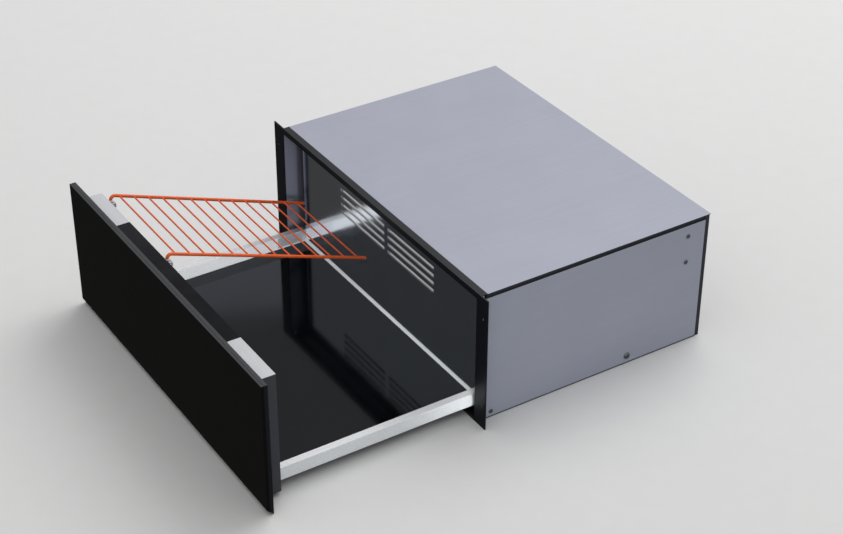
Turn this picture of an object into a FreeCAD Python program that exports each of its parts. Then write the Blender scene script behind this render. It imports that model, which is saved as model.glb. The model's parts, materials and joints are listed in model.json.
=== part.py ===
import FreeCAD, Part
import math
import os
import re
import Sketcher

# A built-in warming drawer, pulled open. A sheet-metal chassis with a black front frame slides into a
# cabinet niche. The drawer runs on two concealed runners and carries a heated glass base, a rear panel
# with a fan heater behind it, and a loose wire rack.
# X points to the right, -Y towards the user and +Z up. The origin is under the middle of the chassis.

SIZES = {
    # front frame and chassis
    "front_width": 595,
    "frame_height": 218,
    "frame_sheet": 2,
    "header_height": 9.5,
    "sill_height": 4,
    "jamb_cover": 4.5,
    "strip_depth": 14.4,
    "fixing_drill": 4.5,
    "fixing_edge": 35,
    "chassis_width": 553,
    "chassis_depth": 405.5,
    "chassis_height": 214,
    "panel_sheet": 1,
    "panel_return": 12,
    "cover_gap": 6.5,
    "cover_inset": 3,
    "front_post": 7,
    "rear_post": 9,
    "back_inset": 2.5,
    "bead_width": 16,
    "bead_height": 1.5,
    "vent_slot_width": 4,
    "vent_slot_length": 40,
    "vent_slot_pitch": 10,
    # drawer front, measured from the rear face of the front
    "open_gap": 336.6,
    "front_thickness": 9.8,
    "front_glass_thickness": 4,
    "front_bottom": 0.3,
    "front_top_gap": 4.3,
    "bevel_rise": 8.7,
    "carrier_sheet": 1.3,
    "buffer_radius": 5,
    "buffer_height": 3,
    # inner front box
    "box_play": 3.5,
    "box_depth": 27.8,
    "box_bottom": 6,
    "box_drop": 12.2,
    "box_sheet": 1,
    "cap_width": 96.5,
    "cap_height": 8,
    "cap_sheet": 1.5,
    "control_glass": 3,
    "board_thickness": 1.6,
    # side walls, base and rear panel of the drawer
    "side_clearance": 17.5,
    "wall_width": 11.5,
    "wall_top": 37.5,
    "wall_bottom": 17,
    "wall_skirt": 7,
    "wall_sheet": 1,
    "wall_length": 330.3,
    "pan_bottom": 5.5,
    "pan_sheet": 1,
    "glass_top": 17,
    "glass_thickness": 4,
    "glass_play": 0.5,
    "element_thickness": 1.5,
    "element_margin": 20,
    "rear_sheet": 1.5,
    "rear_top_gap": 8.5,
    "lip_depth": 3,
    "lip_height": 2.5,
    "slot_length": 125,
    "slot_height": 5,
    "slot_pitch": 13,
    "slot_top": 174,
    "slot_split": 10,
    # fan heater behind the rear panel
    "housing_width": 270,
    "housing_depth": 37,
    "housing_bottom": 28,
    "housing_top": 186,
    "housing_sheet": 1,
    "baffle_gap": 4,
    "baffle_bottom": 120,
    "louvre_gap": 0.4,
    "louvre_sheet": 1.2,
    "louvre_over": 2,
    "fan_height": 75,
    "fan_radius": 40,
    "fan_width": 14,
    "fan_disc": 1.5,
    "fan_hub": 6,
    "blade_sheet": 1.2,
    "blade_inner": 22,
    "blade_sweep": 9,
    "motor_radius": 20,
    "motor_length": 14,
    "intake_radius": 5,
    "shaft_radius": 2,
    "shaft_fit": 0.05,
    "heater_radius": 3,
    "heater_bend": 14,
    "heater_reach": 105,
    "heater_height": 134,
    # runners: a channel on the chassis, a middle rail and a channel in each drawer wall
    "runner_width": 8,
    "runner_sheet": 1.2,
    "runner_lip": 1.3,
    "channel_height": 7,
    "runner_seat": 14,
    "rail_play": 0.4,
    "rail_flange": 2.4,
    "rail_web": 2,
    "pad_height": 1,
    "pad_length": 26,
    "pad_pitch": 48,
    "fixed_front": 36,
    "fixed_rear": 10.5,
    "channel_inset": 9,
    "middle_front": 204,
    "middle_length": 322,
    "bracket_foot": 20,
    "bracket_sheet": 1.5,
    # wire rack
    "rack_side": 2,
    "rack_width": 188.5,
    "rod_radius": 2.5,
    "wire_radius": 1.3,
    "wire_overhang": 3,
    "wire_count": 13,
    "wire_first": 13.6,
    "wire_pitch": 27,
    "rack_bend": 6,
    "rack_stand": 3.8,
    "rack_rise": 5.5,
    "rack_drop": 119,
    "rack_rear_gap": 1.5,
    "rack_tip": 16,
    "seat_gap": 0.3,
    "clip_wall": 3.2,
    "clip_floor": 3,
    "clip_grip": 3.5,
    "pin_length": 9,
    "pin_radius": 2,
    # small parts
    "screw_radius": 3.4,
    "screw_height": 1.6,
    "dome_radius": 5.5,
    "dome_height": 3,
    "screw_upper": 188.5,
    "screw_middle": 144,
    "screw_lower": 10.6,
    "screw_front_inset": 22.6,
    "screw_rear_inset": 31.5,
    "back_screw_inset": 9,
    "dome_level": 13.6,
    "dome_rear_inset": 129.7,
    "unit_width": 80,
    "unit_depth": 40,
    "unit_height": 20,
    "unit_gap": 4,
    "plunger_radius": 5,
    "plunger_fit": 0.05,
    "plunger_length": 34,
    "terminal_width": 70,
    "terminal_depth": 30,
    "terminal_height": 50,
    "terminal_level": 80,
    "grommet_radius": 9,
    "grommet_flange": 2.5,
    "sensor_radius": 4,
    "sensor_length": 12,
}

doc = FreeCAD.newDocument("warming_drawer")
sheet = doc.addObject("Spreadsheet::Sheet", "Sizes")
for row, (name, value) in enumerate(SIZES.items(), 1):
    sheet.set(f"A{row}", name)
    sheet.set(f"B{row}", str(value))
    sheet.setAlias(f"B{row}", name)
doc.recompute()

# Places that many pieces share, as expressions of the sizes.
HALF = "chassis_width/2"
FRONT = "-chassis_depth/2"
REAR = "chassis_depth/2"
BEHIND_FRAME = f"{FRONT} + frame_sheet"
COVER_UNDER = "chassis_height - panel_sheet"
SIDE_TOP = f"{COVER_UNDER} - cover_gap"
SIDE_REAR = f"{REAR} - rear_post"
OPENING_HALF = f"{HALF} - panel_sheet - jamb_cover"
OPENING_TOP = "frame_height - header_height"
FRONT_BACK = f"{FRONT} - open_gap"
FRONT_TOP = "frame_height - front_top_gap"
BOX_HALF = f"{OPENING_HALF} - box_play"
BOX_REAR = f"{FRONT_BACK} + box_depth"
BOX_TOP = f"{FRONT_TOP} - box_drop"
DRAWER_HALF = f"{HALF} - side_clearance"
INNER_HALF = f"{DRAWER_HALF} - wall_width"
PANEL_FRONT = f"{BOX_REAR} + wall_length"
PANEL_BACK = f"{PANEL_FRONT} + rear_sheet"
RUNNER_X = f"{DRAWER_HALF} - wall_width/2"
RUNNER_TOP = "wall_top - wall_sheet"
FIXED_FRONT = f"{FRONT} + fixed_front"
FIXED_REAR = f"{REAR} - fixed_rear"
MIDDLE_FRONT = f"{FRONT_BACK} + middle_front"
MIDDLE_REAR = f"{MIDDLE_FRONT} + middle_length"

NODES = []


def names_bound(text):
    """Expression text with each size name pointed at the sheet."""
    return re.sub(r"[a-z_]+", lambda word: "Sizes." + word[0] if word[0] in SIZES else word[0], str(text))


def bind(thing, prop, text):
    thing.setExpression(prop, names_bound(text))


def number(text):
    """Value of an expression, worked out in a spare cell of the sheet."""
    sheet.set("D1", "=" + str(text))
    sheet.recompute()
    return float(sheet.get("D1"))


def node(thing, label):
    thing.Label = label
    NODES.append(thing)
    return thing


def block(name, x, y, z):
    """Box between a low and a high limit along each axis."""
    box = doc.addObject("Part::Box", name)
    for prop, axis, (low, high) in zip(("Length", "Width", "Height"), "xyz", (x, y, z)):
        bind(box, prop, f"({high}) - ({low})")
        bind(box, f"Placement.Base.{axis}", low)
    return box


TURNS = {
    "x": FreeCAD.Rotation(FreeCAD.Vector(0, 1, 0), 90),
    "-x": FreeCAD.Rotation(FreeCAD.Vector(0, 1, 0), -90),
    "y": FreeCAD.Rotation(FreeCAD.Vector(1, 0, 0), -90),
    "z": FreeCAD.Rotation(),
}


def place(thing, axis, at):
    thing.Placement = FreeCAD.Placement(FreeCAD.Vector(), TURNS[axis])
    for letter, text in zip("xyz", at):
        bind(thing, f"Placement.Base.{letter}", text)


def rod(name, axis, radius, length, at):
    """Round rod that starts at a point and runs along an axis."""
    cylinder = doc.addObject("Part::Cylinder", name)
    bind(cylinder, "Radius", radius)
    bind(cylinder, "Height", length)
    place(cylinder, axis, at)
    return cylinder


def fuse(name, pieces):
    joined = doc.addObject("Part::MultiFuse", name)
    joined.Shapes = list(pieces)
    joined.Refine = True
    return joined


def cut(name, base, tools):
    tools = list(tools)
    result = doc.addObject("Part::Cut", name)
    result.Base = base
    result.Tool = tools[0] if len(tools) == 1 else fuse(name + "_tools", tools)
    result.Refine = True
    return result


def group(name, pieces):
    together = doc.addObject("Part::Compound", name)
    together.Links = list(pieces)
    return together


def mirrored(name, source):
    """The same piece on the other side of the drawer."""
    copy = doc.addObject("Part::Mirroring", name)
    copy.Source = source
    copy.Normal = FreeCAD.Vector(1, 0, 0)
    copy.Base = FreeCAD.Vector(0, 0, 0)
    return copy


def both_sides(label, right):
    node(right, label + "_right")
    node(mirrored(label + "_left", right), label + "_left")


def sketch_on(body, plane, offset):
    """Sketch on one of the body's own planes, moved along that plane's normal."""
    planes = {feature.Role: feature for feature in body.Origin.OriginFeatures}
    sketch = body.newObject("Sketcher::SketchObject", body.Name + "_sketch")
    sketch.AttachmentSupport = [(planes[plane + "_Plane"], "")]
    sketch.MapMode = "FlatFace"
    bind(sketch, "AttachmentOffset.Base.z", offset)
    return sketch


def pin_point(sketch, geometry, point, place_text):
    """Tie a point of the sketch to two coordinates."""
    for kind, text in zip(("DistanceX", "DistanceY"), place_text):
        index = sketch.addConstraint(Sketcher.Constraint(kind, -1, 1, geometry, point, number(text)))
        bind(sketch, f"Constraints[{index}]", text)


def add_outline(sketch, points):
    """Closed outline of straight lines through the given points."""
    first = sketch.GeometryCount
    corners = [FreeCAD.Vector(number(u), number(v), 0) for u, v in points]
    count = len(points)
    for i in range(count):
        sketch.addGeometry(Part.LineSegment(corners[i], corners[(i + 1) % count]), False)
    for i in range(count):
        following = first + (i + 1) % count
        sketch.addConstraint(Sketcher.Constraint("Coincident", first + i, 2, following, 1))
    for i, point in enumerate(points):
        pin_point(sketch, first + i, 1, point)


def add_circle(sketch, radius, centre):
    middle = FreeCAD.Vector(number(centre[0]), number(centre[1]), 0)
    index = sketch.addGeometry(Part.Circle(middle, FreeCAD.Vector(0, 0, 1), number(radius)), False)
    size = sketch.addConstraint(Sketcher.Constraint("Radius", index, number(radius)))
    bind(sketch, f"Constraints[{size}]", radius)
    pin_point(sketch, index, 3, centre)


def rectangle(u, v):
    return [(u[0], v[0]), (u[1], v[0]), (u[1], v[1]), (u[0], v[1])]


def sheet_pair(outer):
    """Limits along X of two upright sheets whose outer faces are at plus and minus the given place."""
    return ((f"{outer} - panel_sheet", outer), (f"-({outer})", f"panel_sheet - ({outer})"))


def pad(body, plane, outlines, low, high):
    """Pad outlines between two limits along the plane's normal; the XZ plane's normal is -Y."""
    start = f"-({high})" if plane == "XZ" else low
    sketch = sketch_on(body, plane, start)
    for points in outlines:
        add_outline(sketch, points)
    feature = body.newObject("PartDesign::Pad", body.Name + "_pad")
    feature.Profile = sketch
    bind(feature, "Length", f"({high}) - ({low})")
    sketch.Visibility = False
    return feature


def pocket(body, plane, outlines, circles, middle):
    """Cut outlines and circles right through the body, both ways from a plane inside it."""
    sketch = sketch_on(body, plane, f"-({middle})" if plane == "XZ" else middle)
    for points in outlines:
        add_outline(sketch, points)
    for radius, centre in circles:
        add_circle(sketch, radius, centre)
    feature = body.newObject("PartDesign::Pocket", body.Name + "_pocket")
    feature.Profile = sketch
    feature.Type = "ThroughAll"
    feature.SideType = "Symmetric"
    return feature


def prism(name, plane, points, low, high):
    body = doc.addObject("PartDesign::Body", name)
    pad(body, plane, [points], low, high)
    return body


# Front frame: a plate with the drawer opening, four fixing holes in the overhang at the sides and a
# return along its top edge that covers the front of the chassis.
frame = doc.addObject("PartDesign::Body", "front_flange")
pad(frame, "XZ", [rectangle(("-front_width/2", "front_width/2"), ("0", "frame_height"))], FRONT, BEHIND_FRAME)
pad(
    frame, "XZ",
    [rectangle((f"-{HALF}", HALF), (COVER_UNDER, "chassis_height"))],
    BEHIND_FRAME, f"{FRONT} + strip_depth",
)
opening = rectangle((f"-({OPENING_HALF})", OPENING_HALF), ("sill_height", OPENING_TOP))
FIXING_X = f"({HALF} + front_width/2)/2"
fixings = []
for x in (f"-{FIXING_X}", FIXING_X):
    for z in ("fixing_edge", "frame_height - fixing_edge"):
        fixings.append(("fixing_drill/2", (x, z)))
pocket(frame, "XZ", [opening], fixings, f"{FRONT} + frame_sheet/2")
node(frame, "front_flange")

# Base panel with two pressed beads that stiffen it between the runner brackets.
base = doc.addObject("PartDesign::Body", "base_panel")
BASE_HALF = f"{HALF} - panel_sheet"
BASE_REAR = f"{REAR} - panel_sheet"
pad(
    base, "XY",
    [rectangle((f"-({BASE_HALF})", BASE_HALF), (BEHIND_FRAME, BASE_REAR))],
    "0", "panel_sheet",
)
beads = []
for side in ("-1", "1"):
    low = f"{side}*chassis_width/6 - bead_width/2"
    high = f"{side}*chassis_width/6 + bead_width/2"
    beads.append(rectangle((low, high), (f"{FRONT} + chassis_depth/6", f"{REAR} - chassis_depth/4")))
pad(base, "XY", beads, "panel_sheet", "panel_sheet + bead_height")
node(base, "base_panel")

# Side panels: a post at the front reaches the cover, the rest stops short of it, and the top and rear
# edges turn inwards.
side = doc.addObject("PartDesign::Body", "side_panel")
POST_REAR = f"{BEHIND_FRAME} + front_post"
pad(
    side, "YZ",
    [[
        (BEHIND_FRAME, "0"), (SIDE_REAR, "0"), (SIDE_REAR, SIDE_TOP),
        (POST_REAR, SIDE_TOP), (POST_REAR, COVER_UNDER), (BEHIND_FRAME, COVER_UNDER),
    ]],
    BASE_HALF, HALF,
)
RETURN_X = f"{BASE_HALF} - panel_return"
pad(
    side, "YZ",
    [[
        (POST_REAR, f"{SIDE_TOP} - panel_sheet"), (f"{SIDE_REAR} - panel_sheet", f"{SIDE_TOP} - panel_sheet"),
        (f"{SIDE_REAR} - panel_sheet", "panel_sheet"), (SIDE_REAR, "panel_sheet"),
        (SIDE_REAR, SIDE_TOP), (POST_REAR, SIDE_TOP),
    ]],
    RETURN_X, BASE_HALF,
)
both_sides("side_panel", side)

# Top cover: a plate whose turned-down edges stand on the side panels and leave a shadow groove.
cover = doc.addObject("PartDesign::Body", "top_cover")
COVER_FRONT = f"{FRONT} + strip_depth"
pad(
    cover, "XY",
    [rectangle((f"-{HALF}", HALF), (COVER_FRONT, REAR))],
    COVER_UNDER, "chassis_height",
)
EDGE_OUT = f"{HALF} - cover_inset"
edges = []
for span in sheet_pair(EDGE_OUT):
    edges.append(rectangle(span, (COVER_FRONT, SIDE_REAR)))
pad(cover, "XY", edges, SIDE_TOP, COVER_UNDER)
node(cover, "top_cover")

# Back panel: a shallow pan, set in from the side panels, with a field of air slots and a cord entry.
back = doc.addObject("PartDesign::Body", "back_panel")
BACK_HALF = f"{HALF} - back_inset"
pad(
    back, "XZ",
    [rectangle((f"-({BACK_HALF})", BACK_HALF), ("0", COVER_UNDER))],
    BASE_REAR, REAR,
)
flanges = []
for span in sheet_pair(BACK_HALF):
    flanges.append(rectangle(span, ("panel_sheet", COVER_UNDER)))
pad(back, "XZ", flanges, SIDE_REAR, BASE_REAR)
TERMINAL_X = f"{INNER_HALF} - terminal_width/2 - panel_return"
TERMINAL_Z = "terminal_level"
slots = []
for i in range(6):
    low = f"chassis_height/2 + {i - 2}*vent_slot_pitch"
    slots.append(rectangle(
        (f"-({INNER_HALF}) + panel_return", f"-({INNER_HALF}) + panel_return + vent_slot_length"),
        (low, f"{low} + vent_slot_width"),
    ))
pocket(back, "XZ", slots, [("grommet_radius", (TERMINAL_X, TERMINAL_Z))], f"{REAR} - panel_sheet/2")
node(back, "back_panel")

# Cord entry: a closed rubber grommet in the back panel and the terminal box behind it.
plug = rod("grommet_core", "y", "grommet_radius", "panel_sheet", (TERMINAL_X, BASE_REAR, TERMINAL_Z))
RIM_RADIUS = "grommet_radius + grommet_flange"
rim = rod("grommet_rim", "y", RIM_RADIUS, "grommet_flange", (TERMINAL_X, REAR, TERMINAL_Z))
node(fuse("grommet", [plug, rim]), "cable_grommet")
node(
    block(
        "terminal",
        (f"{TERMINAL_X} - terminal_width/2", f"{TERMINAL_X} + terminal_width/2"),
        (f"{BASE_REAR} - terminal_depth", BASE_REAR),
        (f"{TERMINAL_Z} - terminal_height/2", f"{TERMINAL_Z} + terminal_height/2"),
    ),
    "terminal_box",
)

# Push-to-open unit on the base panel. Its plunger runs in a bore and, pressed in as drawn here, ends close
# behind the closed drawer's pan.
UNIT_FRONT = f"{PANEL_BACK} + open_gap - buffer_height + unit_gap"
PLUNGER_START = ("0", UNIT_FRONT, "panel_sheet + unit_height/2")
unit_body = block(
    "unit_body", ("-unit_width/2", "unit_width/2"),
    (f"{UNIT_FRONT} + unit_gap", f"{UNIT_FRONT} + unit_depth"), ("panel_sheet", "panel_sheet + unit_height"),
)
BORE_RADIUS = "plunger_radius + plunger_fit"
unit_bore = rod("unit_bore", "y", BORE_RADIUS, "plunger_length + panel_sheet", PLUNGER_START)
node(cut("unit", unit_body, [unit_bore]), "push_open_unit")
node(rod("plunger", "y", "plunger_radius", "plunger_length", PLUNGER_START), "push_open_plunger")

# Heads of the screws that hold the side panels and the back panel, and one larger domed head low on each
# side.
BACK_SCREW_X = f"{BACK_HALF} - back_screw_inset"
BACK_SCREW_TOP = f"{COVER_UNDER} - back_screw_inset"
SIDE_SCREWS = (
    (f"{SIDE_REAR} - screw_rear_inset", "screw_upper"),
    (f"{SIDE_REAR} - screw_rear_inset", "screw_middle"),
    (f"{BEHIND_FRAME} + screw_front_inset", "screw_lower"),
)
BACK_SCREWS = (
    (f"-({BACK_SCREW_X})", "back_screw_inset"), ("0", "back_screw_inset"), (BACK_SCREW_X, "back_screw_inset"),
    (f"-({BACK_SCREW_X})", "chassis_height/2"), (BACK_SCREW_X, "chassis_height/2"),
    (f"-({BACK_SCREW_X})", BACK_SCREW_TOP), ("0", BACK_SCREW_TOP), (BACK_SCREW_X, BACK_SCREW_TOP),
)


def on_sides(places):
    """Seats on the outer faces of both side panels."""
    return [("x", (HALF, y, z)) for y, z in places] + [("-x", (f"-{HALF}", y, z)) for y, z in places]


def screw_heads(name, radius, height, seats):
    """Tapered heads, each on a face that looks along the given axis."""
    heads = []
    for axis, at in seats:
        head = doc.addObject("Part::Cone", name)
        bind(head, "Radius1", radius)
        bind(head, "Radius2", f"{radius}*0.62")
        bind(head, "Height", height)
        place(head, axis, at)
        heads.append(head)
    return group(name + "_group", heads)


panel_seats = on_sides(SIDE_SCREWS) + [("y", (x, REAR, z)) for x, z in BACK_SCREWS]
node(screw_heads("screw", "screw_radius", "screw_height", panel_seats), "panel_screws")
dome_seats = on_sides(((f"{SIDE_REAR} - dome_rear_inset", "dome_level"),))
node(screw_heads("dome", "dome_radius", "dome_height", dome_seats), "dome_screws")

# Runners. Seen from the front each one is an open channel on a bracket, an I-shaped middle rail that
# stands in it on glide pads, and an upside-down channel in the drawer wall that rides on the rail.
OUT = "runner_width/2"
INSIDE = "runner_width/2 - runner_sheet"
LIP_IN = "runner_width/2 - runner_sheet - runner_lip"


def channel_outline(floor, up):
    """Lipped channel section from its floor face; up is 1 for open at the top and -1 for open below."""
    def at(x, rise):
        return (f"{RUNNER_X} + {x}", f"{floor} + {up}*({rise})")
    inner_lip = "channel_height - runner_sheet"
    return [
        at(f"-({OUT})", "0"), at(OUT, "0"), at(OUT, "channel_height"), at(f"({LIP_IN})", "channel_height"),
        at(f"({LIP_IN})", inner_lip), at(f"({INSIDE})", inner_lip), at(f"({INSIDE})", "runner_sheet"),
        at(f"-({INSIDE})", "runner_sheet"), at(f"-({INSIDE})", inner_lip), at(f"-({LIP_IN})", inner_lip),
        at(f"-({LIP_IN})", "channel_height"), at(f"-({OUT})", "channel_height"),
    ]


both_sides("runner_fixed", prism("fixed", "XZ", channel_outline("runner_seat", 1), FIXED_FRONT, FIXED_REAR))
INNER_FRONT = f"{BOX_REAR} + channel_inset"
INNER_REAR = f"{PANEL_FRONT} - rear_sheet"
both_sides("runner_drawer", prism("inner", "XZ", channel_outline(RUNNER_TOP, -1), INNER_FRONT, INNER_REAR))

WEB = "rail_web/2"
FOOT = f"{INSIDE} - rail_play"
RAIL_LOW = "runner_seat + runner_sheet + pad_height"
RAIL_HIGH = f"{RUNNER_TOP} - runner_sheet - pad_height"
rail_points = []
for sign, start, end in ((1, RAIL_LOW, RAIL_HIGH), (-1, RAIL_HIGH, RAIL_LOW)):
    foot_x = f"{RUNNER_X} + {sign}*({FOOT})"
    web_x = f"{RUNNER_X} + {sign}*({WEB})"
    first_step = f"{start} + {sign}*rail_flange"
    last_step = f"{end} - {sign}*rail_flange"
    rail_points += [(foot_x, start), (foot_x, first_step), (web_x, first_step)]
    rail_points += [(web_x, last_step), (foot_x, last_step), (foot_x, end)]
both_sides("runner_middle", prism("middle", "XZ", rail_points, MIDDLE_FRONT, MIDDLE_REAR))

pads = []
for i in range(3):
    front_pad = f"{MIDDLE_FRONT} + rail_flange + {i}*pad_pitch"
    rear_pad = f"{MIDDLE_REAR} - rail_flange - pad_length - {i}*pad_pitch"
    for start, low in ((front_pad, RAIL_HIGH), (rear_pad, f"{RAIL_LOW} - pad_height")):
        pads.append(block(
            f"glide_{len(pads)}",
            (f"{RUNNER_X} - ({FOOT})", f"{RUNNER_X} + {FOOT}"),
            (start, f"{start} + pad_length"), (low, f"{low} + pad_height"),
        ))
both_sides("glide_pads", group("glides", pads))

FOOT_IN = f"{RUNNER_X} - {OUT}"
FOOT_OUT = f"{FOOT_IN} + bracket_foot"
FOOT_TOP = "panel_sheet + bracket_sheet"
WEB_IN = f"{RUNNER_X} - bracket_sheet"
WEB_OUT = f"{RUNNER_X} + bracket_sheet"
bracket_points = [
    (FOOT_IN, "panel_sheet"), (FOOT_OUT, "panel_sheet"), (FOOT_OUT, FOOT_TOP), (WEB_OUT, FOOT_TOP),
    (WEB_OUT, "runner_seat"), (WEB_IN, "runner_seat"), (WEB_IN, FOOT_TOP), (FOOT_IN, FOOT_TOP),
]
both_sides("runner_bracket", prism("bracket", "XZ", bracket_points, FIXED_FRONT, FIXED_REAR))

# Drawer front: a glass sheet on a carrier, with one bevel across the lower edge of both.
def front_layer(name, near, far):
    """Layer of the front between two distances from its rear face."""
    def bevel_z(depth):
        return f"front_bottom + bevel_rise*({depth})/front_thickness"
    outline = [
        (f"{FRONT_BACK} - ({far})", bevel_z(far)), (f"{FRONT_BACK} - ({near})", bevel_z(near)),
        (f"{FRONT_BACK} - ({near})", FRONT_TOP), (f"{FRONT_BACK} - ({far})", FRONT_TOP),
    ]
    return prism(name, "YZ", outline, "-front_width/2", "front_width/2")


CARRIER = "front_thickness - front_glass_thickness"
node(front_layer("glass_layer", CARRIER, "front_thickness"), "front_glass")
recess = block(
    "carrier_recess",
    (f"-({BOX_HALF}) + cap_height", f"{BOX_HALF} - cap_height"),
    (f"{FRONT_BACK} - ({CARRIER}) + carrier_sheet", FRONT_BACK),
    ("box_bottom + cap_height", f"{BOX_TOP} - 2*cap_height"),
)
node(cut("carrier", front_layer("carrier_layer", "0", CARRIER), [recess]), "front_carrier")

buffers = []
for x in (f"-{FIXING_X}", FIXING_X):
    for z in ("2*fixing_edge", "frame_height - 2*fixing_edge"):
        spot = (x, FRONT_BACK, z)
        buffers.append(rod(f"buffer_{len(buffers)}", "y", "buffer_radius", "buffer_height", spot))
node(group("buffers", buffers), "closing_buffers")

# Inner front box: open towards the front and at the top, where two end caps and the control strip close it.
CAP_UNDER = f"{BOX_TOP} - cap_height"
box_outer = block(
    "box_outer", (f"-({BOX_HALF})", BOX_HALF), (FRONT_BACK, BOX_REAR), ("box_bottom", CAP_UNDER),
)
box_inner = block(
    "box_inner",
    (f"-({BOX_HALF}) + box_sheet", f"{BOX_HALF} - box_sheet"),
    (FRONT_BACK, f"{BOX_REAR} - box_sheet"), ("box_bottom + box_sheet", CAP_UNDER),
)
node(cut("inner_box", box_outer, [box_inner]), "inner_box")


def strip_cover(name, low, high, skin):
    """Cover of the box top between two places along X, hollow from below."""
    outer = block(name + "_outer", (low, high), (FRONT_BACK, BOX_REAR), (CAP_UNDER, BOX_TOP))
    inner = block(
        name + "_inner", (f"({low}) + cap_sheet", f"({high}) - cap_sheet"),
        (f"{FRONT_BACK} + cap_sheet", f"{BOX_REAR} - cap_sheet"), (CAP_UNDER, f"{BOX_TOP} - {skin}"),
    )
    return cut(name, outer, [inner])


CONTROL_HALF = f"{BOX_HALF} - cap_width"
both_sides("end_cap", strip_cover("cap", CONTROL_HALF, BOX_HALF, "cap_sheet"))
node(strip_cover("control", f"-({CONTROL_HALF})", CONTROL_HALF, "control_glass"), "control_panel")
node(
    block(
        "board",
        (f"-({CONTROL_HALF}) + cap_height", f"{CONTROL_HALF} - cap_height"),
        (f"{FRONT_BACK} + 2*cap_sheet", f"{BOX_REAR} - 2*cap_sheet"),
        (f"{BOX_TOP} - control_glass - board_thickness", f"{BOX_TOP} - control_glass"),
    ),
    "control_board",
)

# Drawer side walls: folded sheet, open below, so the runner stands inside the wall.
wall_points = [
    (DRAWER_HALF, "wall_bottom"), (DRAWER_HALF, "wall_top"),
    (INNER_HALF, "wall_top"), (INNER_HALF, "wall_skirt"),
    (f"{INNER_HALF} + wall_sheet", "wall_skirt"), (f"{INNER_HALF} + wall_sheet", RUNNER_TOP),
    (f"{DRAWER_HALF} - wall_sheet", RUNNER_TOP), (f"{DRAWER_HALF} - wall_sheet", "wall_bottom"),
]
both_sides("side_wall", prism("wall", "XZ", wall_points, BOX_REAR, PANEL_FRONT))

# Heated base: pan, insulation, flat element and glass, one on top of the other.
PAN_FLOOR = "pan_bottom + pan_sheet"
GLASS_UNDER = "glass_top - glass_thickness"
ELEMENT_UNDER = f"{GLASS_UNDER} - element_thickness"
pan_outer = block(
    "pan_outer", (f"-({INNER_HALF})", INNER_HALF), (BOX_REAR, PANEL_BACK), ("pan_bottom", GLASS_UNDER),
)
pan_inner = block(
    "pan_inner", (f"-({INNER_HALF}) + pan_sheet", f"{INNER_HALF} - pan_sheet"),
    (f"{BOX_REAR} + pan_sheet", PANEL_BACK), (PAN_FLOOR, GLASS_UNDER),
)
pan_notch = block(
    "pan_notch", (f"-({INNER_HALF})", INNER_HALF), (PANEL_FRONT, PANEL_BACK), (PAN_FLOOR, GLASS_UNDER),
)
node(cut("pan", pan_outer, [pan_inner, pan_notch]), "drawer_pan")
node(
    block(
        "insulation",
        (f"-({INNER_HALF}) + 2*pan_sheet", f"{INNER_HALF} - 2*pan_sheet"),
        (f"{BOX_REAR} + 2*pan_sheet", f"{PANEL_FRONT} - pan_sheet"), (PAN_FLOOR, ELEMENT_UNDER),
    ),
    "insulation_mat",
)
node(
    block(
        "element",
        (f"-({INNER_HALF}) + element_margin", f"{INNER_HALF} - element_margin"),
        (f"{BOX_REAR} + element_margin", f"{PANEL_FRONT} - element_margin"), (ELEMENT_UNDER, GLASS_UNDER),
    ),
    "heating_element",
)
node(
    block(
        "glass",
        (f"-({INNER_HALF}) + glass_play", f"{INNER_HALF} - glass_play"),
        (f"{BOX_REAR} + glass_play", f"{PANEL_FRONT} - glass_play"), (GLASS_UNDER, "glass_top"),
    ),
    "glass_base",
)

# Rear panel with two groups of air slots, and the bright strip along its foot.
rear = doc.addObject("PartDesign::Body", "rear_panel")
REAR_TOP = f"{OPENING_TOP} - rear_top_gap"
pad(rear, "XZ", [rectangle((f"-({INNER_HALF})", INNER_HALF), (PAN_FLOOR, REAR_TOP))], PANEL_FRONT, PANEL_BACK)
slots = []
for low in ("slot_split/2", "-slot_split/2 - slot_length"):
    for i in range(4):
        top = f"slot_top - {i}*slot_pitch"
        slots.append(rectangle((low, f"{low} + slot_length"), (f"{top} - slot_height", top)))
pocket(rear, "XZ", slots, [], f"{PANEL_FRONT} + rear_sheet/2")
node(rear, "rear_panel")
node(
    block(
        "lip", (f"-({INNER_HALF}) + glass_play", f"{INNER_HALF} - glass_play"),
        (f"{PANEL_FRONT} - lip_depth", PANEL_FRONT), ("glass_top", "glass_top + lip_height"),
    ),
    "rear_strip",
)

# Fan heater: a housing open towards the slots, a baffle plate with staggered slots and a louvre blade
# behind each slot of the panel, a tubular heater, and a motor with its blower wheel.
HOUSING_HALF = "housing_width/2"
HOUSING_BACK = f"{PANEL_BACK} + housing_depth"
MOTOR_BACK = f"{HOUSING_BACK} - housing_sheet"
housing_outer = block(
    "housing_outer", (f"-{HOUSING_HALF}", HOUSING_HALF),
    (PANEL_BACK, HOUSING_BACK), ("housing_bottom", "housing_top"),
)
housing_inner = block(
    "housing_inner",
    (f"-{HOUSING_HALF} + housing_sheet", f"{HOUSING_HALF} - housing_sheet"), (PANEL_BACK, MOTOR_BACK),
    ("housing_bottom + housing_sheet", "housing_top - housing_sheet"),
)
intakes = []
INTAKE_RING = "(fan_radius + motor_radius)/2"
for i in range(8):
    angle = math.radians(45 * i + 22.5)
    x = f"{INTAKE_RING}*{math.cos(angle):.4f}"
    z = f"fan_height + {INTAKE_RING}*{math.sin(angle):.4f}"
    start = f"{MOTOR_BACK} - housing_sheet/2"
    intakes.append(rod(f"intake_{i}", "y", "intake_radius", "2*housing_sheet", (x, start, z)))
node(cut("housing", housing_outer, [housing_inner] + intakes), "fan_housing")

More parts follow.
